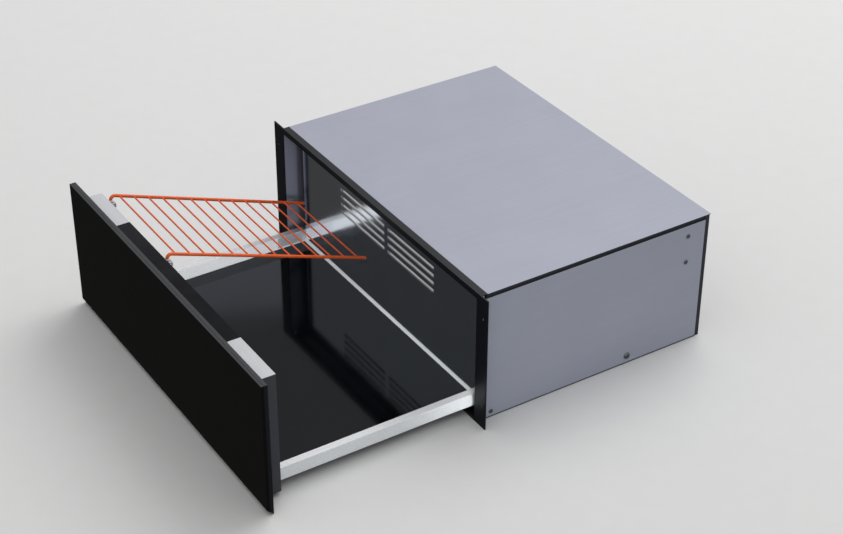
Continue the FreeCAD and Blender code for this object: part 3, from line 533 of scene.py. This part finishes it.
# %% Standing for a solid
def stand_for(piece, name, finishes=None):
    """Give a piece its finish and its body, and hide the node that it stands for."""
    piece.data.materials.clear()
    for finish in finishes or [node_finish(name)]:
        piece.data.materials.append(finish)
    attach(piece, body_of_node[name])
    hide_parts(name)
    print(piece.name, len(piece.data.polygons), "faces, for", name)


print("bodies to ride on", sorted(set(body_of_node.values())))

# %% [markdown]
# ## Softened sheet
# Folded sheet and ground glass never have a knife edge, and it is the edge that catches the light. A bevel
# on each copy rounds every corner that turns by more than thirty degrees. Subdivision would round the edges
# too, but it would also bend the flat faces. They stay flat shaded, so large panels mirror without bending.

# %% Softened sheet
CORNER_ANGLE = math.radians(30)
EDGE_WIDTHS = {
    "front_flange": 0.5, "base_panel": 0.3, "inner_box": 0.3, "drawer_pan": 0.3, "glass_base": 0.5,
    "rear_panel": 0.3, "fan_housing": 0.3, "rack_clips": 0.4, "terminal_box": 1.2, "push_open_unit": 1.0,
    "insulation_mat": 2.2,
}
RUNNER_EDGE_WIDTHS = {
    "runner_fixed_": 0.25, "runner_middle_": 0.3, "runner_drawer_": 0.25, "runner_bracket_": 0.4,
    "glide_pads_": 0.2,
}
for side in ("left", "right"):
    for kind, width in RUNNER_EDGE_WIDTHS.items():
        EDGE_WIDTHS[kind + side] = width


def round_edges(piece, width, segments=3):
    """Bevel modifier, with a width in millimetres, on every edge that turns enough, applied."""
    only(piece)
    bevel = piece.modifiers.new("soft_edges", "BEVEL")
    bevel.width = width * MM
    bevel.segments = segments
    bevel.limit_method = "ANGLE"
    bevel.angle_limit = CORNER_ANGLE
    bpy.ops.object.modifier_apply(modifier=bevel.name)


for name, width in EDGE_WIDTHS.items():
    piece = copy_of_node(name)
    round_edges(piece, width)
    stand_for(piece, name)

# %% [markdown]
# ## Side walls
# The low walls of the drawer are folded from satin sheet. Their narrow upper face is painted a darker satin
# than the sides, as painted shade against the light from above, so the wall reads as one even band. The rear
# end of the left wall is bare metal: it mirrors the dark glass, so it looks dim itself, while its image in
# the rear panel is bright. Only a thin satin foot along the glass stays bright there. Two cuts separate
# those faces, because a finish belongs to whole faces.

# %% Side walls
WALL_EDGE = 0.45
WALL_FOOT = 18.6 * MM
POLISH_FROM = -232.0 * MM
WALL_CUTS = (((0, 0, WALL_FOOT), (0, 0, 1)), ((0, POLISH_FROM, 0), (0, 1, 0)))
FACING = 0.9
OUTWARD = -0.5


def paint_faces(piece, index, test):
    """Use another of the piece's finishes on the faces that pass a test."""
    for face in piece.data.polygons:
        if test(face):
            face.material_index = index


def on_bare_end(face):
    """True for a face of the rear end that lies above the foot and doesn't look outwards."""
    above_foot = face.center.z > WALL_FOOT
    return face.center.y > POLISH_FROM and above_foot and face.normal.x > OUTWARD


for name in ("side_wall_right", "side_wall_left"):
    wall = copy_of_node(name)
    round_edges(wall, WALL_EDGE)
    bpy.ops.object.mode_set(mode="EDIT")
    for place, normal in WALL_CUTS:
        bpy.ops.mesh.select_all(action="SELECT")
        bpy.ops.mesh.bisect(plane_co=place, plane_no=normal)
    bpy.ops.object.mode_set(mode="OBJECT")
    stand_for(wall, name, [satin_along, painted_shade_satin_top, satin_polish])
    # Painted shade: the upper faces get the darker satin.
    paint_faces(wall, 1, lambda face: face.normal.z > FACING)
    if name == "side_wall_left":
        paint_faces(wall, 2, on_bare_end)

# %% [markdown]
# ## Top cover
# The cover's turned-down edges stand back under the plate in its shade, so the side of the chassis shows a
# thin dark line below the plate; that shade is painted on them as a dark grey. They could be a piece of
# their own, but the cover is one folded sheet. So one softened copy is used, and its faces below the plate
# get the painted shade as a second finish.

# %% Top cover
COVER_EDGE = 0.4
PLATE_SKIN = 0.2 * MM
NEARLY_LEVEL = 0.95
cover = copy_of_node("top_cover")
round_edges(cover, COVER_EDGE)
stand_for(cover, "top_cover", [grey_sheet, painted_shade_and_light_grey])
plate_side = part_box("top_cover")[1].z - PLATE_SKIN
# Painted shade: the faces below the plate take the dark grey of the groove.
paint_faces(cover, 1, lambda face: face.center.z < plate_side and abs(face.normal.z) < NEARLY_LEVEL)

# %% [markdown]
# ## Side panels
# The folded foot of each side panel stands in a narrow shadow gap on the floor, and its upper ledge lies in
# the groove under the cover. Both read as thin dark lines, and that shade is painted on them. A cut just
# above the foot separates its faces, and the foot and the ledge get a dark grey as painted shade. The inner
# faces get a dimmer grey, which is painted shade as well.

# %% Side panels
PANEL_EDGE = 0.4
FOOT_HEIGHT = 2.2 * MM
LEDGE_HEIGHT = 205.5 * MM
LEDGE_TILT = 0.5
for name in ("side_panel_right", "side_panel_left"):
    panel = copy_of_node(name)
    round_edges(panel, PANEL_EDGE)
    bpy.ops.object.mode_set(mode="EDIT")
    bpy.ops.mesh.select_all(action="SELECT")
    bpy.ops.mesh.bisect(plane_co=(0, 0, FOOT_HEIGHT), plane_no=(0, 0, 1))
    bpy.ops.object.mode_set(mode="OBJECT")
    inward = 1 if name.endswith("left") else -1
    stand_for(panel, name, [grey_sheet, painted_shade_and_light_grey, painted_shade_inner_grey])
    # Painted shade: the inner faces get the dimmer grey.
    paint_faces(panel, 2, lambda face: face.normal.x * inward > FACING)
    # Painted shade on the foot in the floor gap and on the ledge in the groove.
    paint_faces(panel, 1, lambda face: face.center.z < FOOT_HEIGHT)
    paint_faces(panel, 1, lambda face: face.normal.z > LEDGE_TILT and face.center.z > LEDGE_HEIGHT)

# %% [markdown]
# ## Back panel
# The back panel is coated black. Its turned edges show as a dark band at the rear of each side; they get a
# dark grey a little lighter than the black, which is painted light on the faces that look to the sides. No
# cut is needed for that: the faces that look to the sides get the second finish.

# %% Back panel
BACK_EDGE = 0.3
back_panel = copy_of_node("back_panel")
round_edges(back_panel, BACK_EDGE)
stand_for(back_panel, "back_panel", [frame_black, painted_shade_and_light_grey])
# Painted light: the side-facing faces take a grey lighter than the panel's black.
paint_faces(back_panel, 1, lambda face: abs(face.normal.x) > FACING)

# %% [markdown]
# ## Smooth round pieces
# Tube, rubber and turned parts arrive as many small flat faces. More faces would make them rounder, but
# smooth shading is enough at their size. It is limited by an angle, so their flat ends stay flat.

# %% Smooth round pieces
ROUND_ANGLE = 40


def smooth(piece, degrees):
    """Shade a piece smooth, except across edges that turn by more than an angle."""
    only(piece)
    bpy.ops.object.shade_smooth_by_angle(angle=math.radians(degrees))


for name in (
    "air_heater", "cable_grommet", "closing_buffers", "rack_pins", "fan_motor", "push_open_plunger",
):
    piece = copy_of_node(name)
    smooth(piece, ROUND_ANGLE)
    stand_for(piece, name)

# %% [markdown]
# ## Starting from a primitive
# A piece that is modelled anew starts as a primitive of the right size in the right place, and its place is
# put into its mesh at once. Edit mode then shapes it. Faces, edges and corners are chosen by a test on
# where they are or which way they face, just as one would pick them with the mouse.

# %% Starting from a primitive
def settle(piece, name):
    """Put a new primitive's place, turn and size into its mesh."""
    piece.name = name
    piece.data.name = name
    only(piece)
    bpy.ops.object.transform_apply(location=True, rotation=True, scale=True)
    return piece


def add_block(name, low, high):
    """Cube primitive between two corners."""
    bpy.ops.object.select_all(action="DESELECT")
    low = Vector(low)
    high = Vector(high)
    bpy.ops.mesh.primitive_cube_add(size=1.0, location=(low + high) / 2)
    bpy.context.object.scale = high - low
    return settle(bpy.context.object, name)


def choose(piece, kind, test):
    """In edit mode, select the edges or faces that pass a test."""
    bpy.ops.mesh.select_mode(type=kind)
    bpy.ops.mesh.select_all(action="DESELECT")
    shape = bmesh.from_edit_mesh(piece.data)
    for element in {"EDGE": shape.edges, "FACE": shape.faces}[kind]:
        if test(element):
            element.select_set(True)
    bmesh.update_edit_mesh(piece.data)


def middle(edge):
    return (edge.verts[0].co + edge.verts[1].co) / 2


print("modelling tools ready")

# %% [markdown]
# ## Black front
# The front is a glass sheet on a steel carrier, and one bevel runs across the lower edge of both. A cube of
# the glass's size has its lower front edge lifted to make the bevel, and all its edges are ground. The
# carrier is hollowed behind, so a copy of its solid is softened. The upper faces of both take a dark grey
# lighter than the black, partly for the ground edge and partly as painted light from above.

# %% Black front
BEVEL_LIFT = 3.55 * MM
GRIND = 0.6 * MM
CARRIER_EDGE = 0.5
NEAR = 1 * MM
UPWARD = 0.3
low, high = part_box("front_glass")
pane = add_block("front_pane", low, high)
bpy.ops.object.mode_set(mode="EDIT")
choose(pane, "EDGE", lambda edge: middle(edge).z < low.z + NEAR and middle(edge).y < low.y + NEAR)
bpy.ops.transform.translate(value=(0, 0, BEVEL_LIFT))
bpy.ops.mesh.select_all(action="SELECT")
bpy.ops.mesh.bevel(offset=GRIND, segments=3, affect="EDGES")
bpy.ops.object.mode_set(mode="OBJECT")
bpy.ops.object.shade_flat()
stand_for(pane, "front_glass", [front_black, ground_edge_top_light])
# Painted light from above on the upper faces, along with the ground edge of the glass.
paint_faces(pane, 1, lambda face: face.normal.z > UPWARD)

carrier = copy_of_node("front_carrier")
round_edges(carrier, CARRIER_EDGE)
stand_for(carrier, "front_carrier", [frame_black, ground_edge_top_light])
# Painted light from above: the carrier's upper faces take the lighter grey.
paint_faces(carrier, 1, lambda face: face.normal.z > UPWARD)

# %% [markdown]
# ## Shape of a lid
# Two satin caps and a dark glass strip close the top of the inner front box, and all three are shallow
# lids. A lid is a cube whose lower face is inset by the wall thickness and pushed up to hollow it, with
# rounded upper edges. A solidified plane would do too, but its skin and its wall would be equally thick.

# %% Shape of a lid
TOUCHING = 0.05 * MM
RIM_FROM = 0.4
UPRIGHT = 0.4
LID_WALL = 1.5 * MM


def on_outer_edge(edge, low, high):
    """True for an edge that lies on two outer faces of a box."""
    place = middle(edge)
    faces_met = 0
    for axis in range(3):
        if min(abs(place[axis] - low[axis]), abs(place[axis] - high[axis])) < TOUCHING:
            faces_met += 1
    return faces_met >= 2


def make_lid(name, skin, edge_width):
    """Shallow lid in a node's place, hollow from below; skin is its thickness on top."""
    low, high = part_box(name)
    tall = high.z - low.z
    lid = add_block(name + "_lid", low, high)
    bpy.ops.object.mode_set(mode="EDIT")
    choose(lid, "FACE", lambda face: face.normal.z < -FACING)
    bpy.ops.mesh.inset(thickness=LID_WALL)
    bpy.ops.mesh.extrude_region_move(TRANSFORM_OT_translate={"value": (0, 0, tall - skin)})
    rim_height = low.z + tall * RIM_FROM
    choose(lid, "EDGE", lambda edge: middle(edge).z > rim_height and on_outer_edge(edge, low, high))
    bpy.ops.mesh.bevel(offset=edge_width, segments=4, affect="EDGES")
    bpy.ops.object.mode_set(mode="OBJECT")
    bpy.ops.object.shade_flat()
    stand_for(lid, name, [node_finish(name), box_grey])
    # Painted shade: the upright faces take the dark grey of the box.
    paint_faces(lid, 1, lambda face: abs(face.normal.z) < UPRIGHT)


print("lid walls", LID_WALL, "m")

# %% [markdown]
# ## End caps and control strip
# The caps are metal with a soft edge. The strip is glass, thicker and with a narrower ground edge. The
# upright faces of all three take the dark grey of the box below them, as painted shade.

# %% End caps and control strip
for name in ("end_cap_left", "end_cap_right"):
    make_lid(name, skin=1.5 * MM, edge_width=0.8 * MM)
make_lid("control_panel", skin=3.0 * MM, edge_width=0.5 * MM)

# %% [markdown]
# ## Rear strip
# A satin bead closes the joint between the glass and the rear panel. It starts as a cube, and its upper
# front edge is rounded over most of its height, so it catches the light from above along its whole length.
# Half a cylinder would be rounder, but a real bead has a flat back and a flat foot.

# %% Rear strip
BEAD_ROUND = 1.9 * MM
BEAD_ANGLE = 30
low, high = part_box("rear_strip")
strip = add_block("rear_bead", low, high)
bpy.ops.object.mode_set(mode="EDIT")
choose(strip, "EDGE", lambda edge: middle(edge).z > high.z - NEAR and middle(edge).y < low.y + NEAR)
bpy.ops.mesh.bevel(offset=BEAD_ROUND, segments=6, affect="EDGES")
bpy.ops.object.mode_set(mode="OBJECT")
smooth(strip, BEAD_ANGLE)
stand_for(strip, "rear_strip")

# %% [markdown]
# ## Heater under the glass
# Under the glass lies a mica sheet with a flat heating track that runs to and fro across it. The track
# could be a mere pattern in the finish, but it stands proud of the sheet, so it is modelled: the top of a
# block is divided into cells, and the cells along the track are pulled up.

# %% Heater under the glass
TRACK_RISE = 0.5 * MM
TRACK_CELLS = 25
low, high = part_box("heating_element")


def on_track(face):
    """True for a cell of the top that lies on the path to and fro."""
    place = face.calc_center_median()
    column = int((place.x - low.x) / (high.x - low.x) * TRACK_CELLS)
    row = int((place.y - low.y) / (high.y - low.y) * TRACK_CELLS)
    inside = 0 < column < TRACK_CELLS - 1 and 0 < row < TRACK_CELLS - 1
    end_column = TRACK_CELLS - 2 if row % 4 == 2 else 1
    return face.normal.z > FACING and inside and (row % 2 == 1 or column == end_column)


heater = add_block("heating_track", low, (high.x, high.y, high.z - TRACK_RISE))
bpy.ops.object.mode_set(mode="EDIT")
choose(heater, "FACE", lambda face: face.normal.z > FACING)
bpy.ops.mesh.subdivide(number_cuts=TRACK_CELLS - 1)
choose(heater, "FACE", on_track)
bpy.ops.mesh.extrude_region_move(TRANSFORM_OT_translate={"value": (0, 0, TRACK_RISE)})
bpy.ops.object.mode_set(mode="OBJECT")
stand_for(heater, "heating_element", [mica_sheet, track_foil])
# The sides of the track have their middle at half its rise, and belong to the foil too.
foil_from = high.z - 0.6 * TRACK_RISE
paint_faces(heater, 1, lambda face: face.center.z > foil_from)

# %% [markdown]
# ## Control board
# The board hangs under the control strip with its parts on the lower side. Relays, a power block, the
# controller and two plug sockets are blocks with softened edges. They differ only in size and place, so a
# table is easier to read than code for each of them.

# %% Control board
# Each row: place along the board, width, depth and height, in millimetres.
BOARD_BLOCKS = (
    (-132, 19, 14, 9), (-108, 19, 14, 9), (-66, 34, 17, 11), (-8, 12, 12, 1.6), (14, 6, 5, 1.2),
    (82, 26, 7, 8), (120, 26, 7, 8),
)
BOARD_EDGE = 0.2
BLOCK_EDGE = 0.4
low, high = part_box("control_board")
board_middle = (low.y + high.y) / 2
board = add_block("control_board_parts", low, high)
round_edges(board, BOARD_EDGE, segments=2)
board_pieces = [board]
for x, wide, deep, tall in BOARD_BLOCKS:
    block = add_block(
        "board_block",
        ((x - wide / 2) * MM, board_middle - deep / 2 * MM, low.z - tall * MM),
        ((x + wide / 2) * MM, board_middle + deep / 2 * MM, low.z),
    )
    round_edges(block, BLOCK_EDGE, segments=2)
    board_pieces.append(block)
print("board with", len(BOARD_BLOCKS), "blocks")

# %% [markdown]
# ## Buzzer
# The buzzer on the board is a small can with a sound hole. The hole is an inset of the lower face that is
# pushed in, which keeps the can one closed shape. A boolean would cut it too, with more faces.

# %% Buzzer
BUZZER_X = 40 * MM
BUZZER_RADIUS = 5 * MM
BUZZER_HEIGHT = 6 * MM
BUZZER_RIM = 0.7 * BUZZER_RADIUS
BUZZER_HOLE = 0.3 * BUZZER_HEIGHT
BUZZER_EDGE = 0.3
bpy.ops.object.select_all(action="DESELECT")
bpy.ops.mesh.primitive_cylinder_add(
    vertices=40, radius=BUZZER_RADIUS, depth=BUZZER_HEIGHT,
    location=(BUZZER_X, board_middle, low.z - BUZZER_HEIGHT / 2),
)
buzzer = settle(bpy.context.object, "buzzer")
bpy.ops.object.mode_set(mode="EDIT")
choose(buzzer, "FACE", lambda face: face.normal.z < -FACING)
bpy.ops.mesh.inset(thickness=BUZZER_RIM)
bpy.ops.mesh.extrude_region_move(TRANSFORM_OT_translate={"value": (0, 0, BUZZER_HOLE)})
bpy.ops.object.mode_set(mode="OBJECT")
round_edges(buzzer, BUZZER_EDGE, segments=2)
board_pieces.append(buzzer)
print("buzzer", len(buzzer.data.polygons), "faces")

# %% [markdown]
# ## Finished control board
# The board is fitted as one piece, so its parts are joined to it. Joined, they no longer have finishes of
# their own; the place of a face tells which part it belongs to. Everything below the board is dark plastic,
# apart from the pale sockets at its right end.

# %% Finished control board
SOCKETS_FROM = 65 * MM


def join(pieces, name):
    """One object from several."""
    only(pieces[0])
    for piece in pieces:
        piece.select_set(True)
    bpy.ops.object.join()
    pieces[0].name = name
    pieces[0].data.name = name
    return pieces[0]


board = join(board_pieces, "control_board_parts")
stand_for(board, "control_board", [board_green, dark_plastic, white_nylon])
under_board = low.z - 0.01 * MM
paint_faces(board, 1, lambda face: face.center.z < under_board)
paint_faces(board, 2, lambda face: face.center.z < under_board and face.center.x > SOCKETS_FROM)

# %% [markdown]
# ## Closing a tube
# The rails and the cross wires of the rack are tubes, and cut wire has closed ends with a slightly rounded
# rim. This helper finds the open ends, fills them and bevels their rims. Only an end is a face with many
# sides, which is how its rim is found.

# %% Closing a tube
RIM_SHARE = 0.45
MANY_SIDES = 8


def cap_and_round(piece, radius):
    """Close the open ends of a tube and round their rims."""
    bpy.ops.mesh.select_mode(type="EDGE")
    bpy.ops.mesh.select_all(action="DESELECT")
    bpy.ops.mesh.select_non_manifold()
    bpy.ops.mesh.fill_holes(sides=0)
    choose(piece, "EDGE", lambda edge: any(len(face.verts) > MANY_SIDES for face in edge.link_faces))
    bpy.ops.mesh.bevel(offset=radius * RIM_SHARE, segments=3, affect="EDGES")
    bpy.ops.mesh.select_all(action="SELECT")
    bpy.ops.mesh.normals_make_consistent(inside=False)


print("rims take", RIM_SHARE, "of the radius")

# %% [markdown]
# ## Rail of the wire rack
# Two rails with bent tips carry the cross wires. A rail could be a curve with a thickness, but it is bent
# from straight rod, so it is made as the rod is: a circle is extruded up the tip, spun round the bend and
# extruded down the slope. Its open ends are then closed and rounded.

# %% Rail of the wire rack
RAIL_LEFT = -245.5 * MM
ROD = 2.5 * MM
BEND = 6 * MM
tip = Vector((RAIL_LEFT, -507.75 * MM, 191.0 * MM))
knee = Vector((RAIL_LEFT, -507.75 * MM, 207.0 * MM))
tail = Vector((RAIL_LEFT, -182.75 * MM, 88.0 * MM))
slope = (tail - knee).normalized()
turn_angle = Vector((0, 0, 1)).angle(slope)
reach = BEND * math.tan(turn_angle / 2)

bpy.ops.object.select_all(action="DESELECT")
bpy.ops.mesh.primitive_circle_add(vertices=20, radius=ROD, fill_type="NOTHING", location=tip)
rail = settle(bpy.context.object, "rack_rail")
bpy.ops.object.mode_set(mode="EDIT")
bpy.ops.mesh.select_all(action="SELECT")
bpy.ops.mesh.extrude_region_move(TRANSFORM_OT_translate={"value": (0, 0, knee.z - reach - tip.z)})
bend_centre = Vector((RAIL_LEFT, tip.y + BEND, knee.z - reach))
bpy.ops.mesh.spin(steps=12, angle=turn_angle, center=bend_centre, axis=(1, 0, 0))
bpy.ops.mesh.extrude_region_move(TRANSFORM_OT_translate={"value": tail - (knee + slope * reach)})
bpy.ops.mesh.select_all(action="SELECT")
bpy.ops.mesh.remove_doubles(threshold=0.01 * MM)
cap_and_round(rail, ROD)
bpy.ops.object.mode_set(mode="OBJECT")
rail_heights = [corner.co.z / MM for corner in rail.data.vertices]
print("rail from", round(min(rail_heights), 1), "to", round(max(rail_heights), 1), "mm high")

# %% [markdown]
# ## Cross wire
# The cross wires are thinner than the rails and reach a little past them on both sides. The first one is a
# cylinder with rounded ends, a short way down the slope from the bend. The others are the same, so only
# this one is modelled.

# %% Cross wire
RACK_WIDTH = 188.5 * MM
WIRE = 1.3 * MM
WIRE_OVERHANG = 3 * MM
WIRE_FIRST = 15.1 * MM
wire_middle = Vector((RAIL_LEFT + RACK_WIDTH / 2, knee.y, knee.z)) + slope * WIRE_FIRST
bpy.ops.object.select_all(action="DESELECT")
bpy.ops.mesh.primitive_cylinder_add(
    vertices=14, radius=WIRE, depth=RACK_WIDTH + 2 * WIRE_OVERHANG, location=wire_middle,
    rotation=(0, math.pi / 2, 0),
)
wire = settle(bpy.context.object, "rack_wire")
bpy.ops.object.mode_set(mode="EDIT")
cap_and_round(wire, WIRE)
bpy.ops.object.mode_set(mode="OBJECT")
print("wire", len(wire.data.polygons), "faces")

# %% [markdown]
# ## Finished rack
# Fourteen cross wires are welded to the two rails. The rail and the wire are copied to their places, each
# copy with its own mesh, and all are joined, because the rack is lifted off as one piece. It doesn't show
# in the glass and the polished panel, so it is hidden from reflections, and so are its pins.

# %% Finished rack
WIRE_PITCH = 24.35 * MM
WIRE_COUNT = 14


def copy_moved(piece, shift, turned=0.0):
    """Copy of a piece with its own mesh, turned about Z and moved, its place in its mesh."""
    only(piece)
    bpy.ops.object.duplicate(linked=False)
    copy = bpy.context.object
    copy.rotation_euler = (0, 0, turned)
    copy.location = shift
    return settle(copy, piece.name)


rack_pieces = [rail, copy_moved(rail, (RACK_WIDTH, 0, 0)), wire]
for i in range(1, WIRE_COUNT):
    rack_pieces.append(copy_moved(wire, slope * WIRE_PITCH * i))
rack = join(rack_pieces, "rack_wires")
smooth(rack, ROUND_ANGLE)
stand_for(rack, "wire_rack")
rack.visible_glossy = False
bpy.data.objects["rack_pins_shape"].visible_glossy = False

# %% [markdown]
# ## Drive recess
# Every screw head has a cross-shaped recess for the driver. Two bars cross in the top of the head and a
# boolean takes them out of it, which is the plain way to cut into a curved top. The heads are modelled at
# the origin, facing right.

# %% Drive recess
def sink_cross(piece, top, depth, length, width):
    """Cut a cross-shaped drive recess into a head that faces right."""
    bars = []
    for across, along in ((length, width), (width, length)):
        bars.append(add_block(
            "cross_cutter", (top - depth, -across / 2, -along / 2), (top + depth, across / 2, along / 2),
        ))
    for bar in bars:
        only(piece)
        recess = piece.modifiers.new("drive_recess", "BOOLEAN")
        recess.operation = "DIFFERENCE"
        recess.object = bar
        bpy.ops.object.modifier_apply(modifier=recess.name)
        bpy.data.objects.remove(bar)


print("recess tool ready")

# %% [markdown]
# ## Pan head
# Small pan-head screws hold the sides and the back. Such a head is a low cylinder, and a bevel with several
# steps rounds its outer rim. The flat middle stays, as on the real screw.

# %% Pan head
PAN_RADIUS = 3.4 * MM
PAN_HEIGHT = 1.6 * MM
PAN_RIM = 0.9 * MM
bpy.ops.object.select_all(action="DESELECT")
bpy.ops.mesh.primitive_cylinder_add(
    vertices=28, radius=PAN_RADIUS, depth=PAN_HEIGHT, location=(PAN_HEIGHT / 2, 0, 0),
    rotation=(0, math.pi / 2, 0),
)
pan_head = settle(bpy.context.object, "pan_head")
bpy.ops.object.mode_set(mode="EDIT")
choose(pan_head, "EDGE", lambda edge: min(corner.co.x for corner in edge.verts) > PAN_HEIGHT * 0.9)
bpy.ops.mesh.bevel(offset=PAN_RIM, segments=5, affect="EDGES")
bpy.ops.object.mode_set(mode="OBJECT")
sink_cross(pan_head, PAN_HEIGHT, depth=0.8 * MM, length=3.4 * MM, width=0.8 * MM)
print("pan head", len(pan_head.data.polygons), "faces")

# %% [markdown]
# ## Dome head
# One larger domed screw sits low on each side. A sphere is cut in half and flattened, which gives an even
# dome with a flat underside. A bevelled cylinder would always keep a flat spot on top.

# %% Dome head
DOME_RADIUS = 5.5 * MM
DOME_HEIGHT = 3.0 * MM
bpy.ops.object.select_all(action="DESELECT")
bpy.ops.mesh.primitive_uv_sphere_add(segments=32, ring_count=16, radius=DOME_RADIUS, location=(0, 0, 0))
dome_head = settle(bpy.context.object, "dome_head")
bpy.ops.object.mode_set(mode="EDIT")
bpy.ops.mesh.select_all(action="SELECT")
bpy.ops.mesh.bisect(plane_co=(0, 0, 0), plane_no=(1, 0, 0), use_fill=True, clear_inner=True)
bpy.ops.mesh.select_all(action="SELECT")
bpy.ops.transform.resize(value=(DOME_HEIGHT / DOME_RADIUS, 1, 1), center_override=(0, 0, 0))
bpy.ops.object.mode_set(mode="OBJECT")
sink_cross(dome_head, DOME_HEIGHT, depth=1.4 * MM, length=5.4 * MM, width=1.2 * MM)
print("dome head", len(dome_head.data.polygons), "faces")

# %% [markdown]
# ## Placing the screws
# Each head is copied to its places and turned to face left or backwards where it must. All heads of a kind
# become one piece, as their solids are one node, and the head at the origin is cleared away.

# %% Placing the screws
SIDE_FACE = 276.5 * MM
BACK_FACE = 202.75 * MM
HEAD_ANGLE = 35
# Places on a side, as Y and Z, and the columns and rows of the back, all in millimetres.
SIDE_PANS = ((162.25, 188.5), (162.25, 144.0), (-178.15, 10.6))
SIDE_DOMES = ((64.05, 13.6),)
BACK_COLUMNS = (-265.0, 0.0, 265.0)
BACK_ROWS = (9.0, 107.0, 204.0)
BACK_MIDDLE = (0.0, 107.0)


def side_copies(head, places):
    """Copies of a head on the outer faces of both side panels."""
    copies = []
    for y, z in places:
        copies.append(copy_moved(head, (SIDE_FACE, y * MM, z * MM)))
        copies.append(copy_moved(head, (-SIDE_FACE, y * MM, z * MM), math.pi))
    return copies


def set_heads(head, copies, name, node_name):
    """One object from the copies of a head, and the head itself cleared away."""
    bpy.data.objects.remove(head)
    group = join(copies, name)
    smooth(group, HEAD_ANGLE)
    stand_for(group, node_name)


pan_copies = side_copies(pan_head, SIDE_PANS)
for x in BACK_COLUMNS:
    for z in BACK_ROWS:
        if (x, z) != BACK_MIDDLE:
            pan_copies.append(copy_moved(pan_head, (x * MM, BACK_FACE, z * MM), math.pi / 2))
set_heads(pan_head, pan_copies, "panel_screw_heads", "panel_screws")
set_heads(dome_head, side_copies(dome_head, SIDE_DOMES), "side_dome_screws", "dome_screws")

# %% [markdown]
# ## Cards for single pieces
# Some pale faces lie in the shade of the drawer itself or of the frame. On a set, a small card would throw
# light on each of them alone. A light group does the same here: a lamp lights only the pieces in its group.
# The last card shines from below the floor on the bare end of the left wall, for its image in the rear
# panel; no piece in its way may shade it, so a piece far from its beam is named as its only blocker.

# %% Cards for single pieces
def light_group(name, members):
    """Collection of pieces that a lamp can refer to."""
    group = bpy.data.collections.new(name)
    for member in members:
        group.objects.link(bpy.data.objects[member])
    return group


def light_only(lamp, *members):
    """Limit a lamp to the named pieces."""
    lamp.light_linking.receiver_collection = light_group(lamp.name + "_group", members)
    print(lamp.name, "lights", len(members))


wall_card = add_lamp("wall_card", (3.5, -0.35, 0.6), (-0.26, -0.35, 0.03), 1.2, 0.8, 42)
bead_card = add_lamp("bead_card", (0.3, -1.6, 1.2), (0, -0.155, 0.03), 0.8, 0.4, 11)
end_card = add_lamp("end_card", (1.0, -0.42, 0.55), (0.262, -0.14, 0.03), 0.15, 0.15, 0.12, beam=15)
side_card = add_lamp("side_card", (0.52, 0.0, 0.01), (0.2765, 0.0, 0.01), 0.46, 0.03, 0.06)
mirror_card = add_lamp("mirror_card", (0.455, -0.66, -0.517), (-0.25, -0.21, 0.03), 0.4, 0.3, 2.7)
light_only(wall_card, "side_wall_left_shape", "side_panel_left_shape")
light_only(bead_card, "rear_bead")
light_only(end_card, "side_wall_right_shape")
light_only(side_card, "side_panel_right_shape")
light_only(mirror_card, "side_wall_left_shape")
blockers = light_group("mirror_card_blockers", ["cable_grommet_shape"])
mirror_card.light_linking.blocker_collection = blockers

# %% [markdown]
# ## Keeping a lamp off the floor
# The shadow under the drawer is deep, and the lamp on the right would fill it. Moving that lamp would dim
# the side of the chassis too. A light group can also leave a piece out, so the floor is left out of it.

# %% Keeping a lamp off the floor
off_floor = light_group("right_fill_group", [floor.name])
off_floor.collection_objects[0].light_linking.link_state = "EXCLUDE"
right_fill.light_linking.receiver_collection = off_floor
print(right_fill.name, "leaves out", floor.name)

# %% [markdown]
# ## Floor finish
# The floor is a matt pale grey with a trace of grain and no gloss at all, so it never competes with the
# drawer. The helper for coatings gives that as well as any other.

# %% Floor finish
studio_floor = simple_finish(
    "studio_floor", (0.79, 0.79, 0.785), (0.80, 0.80, 0.795), (0.8, 0.9), 30, shine=0.0,
)
floor.data.materials.append(studio_floor)
print("made", studio_floor.name)
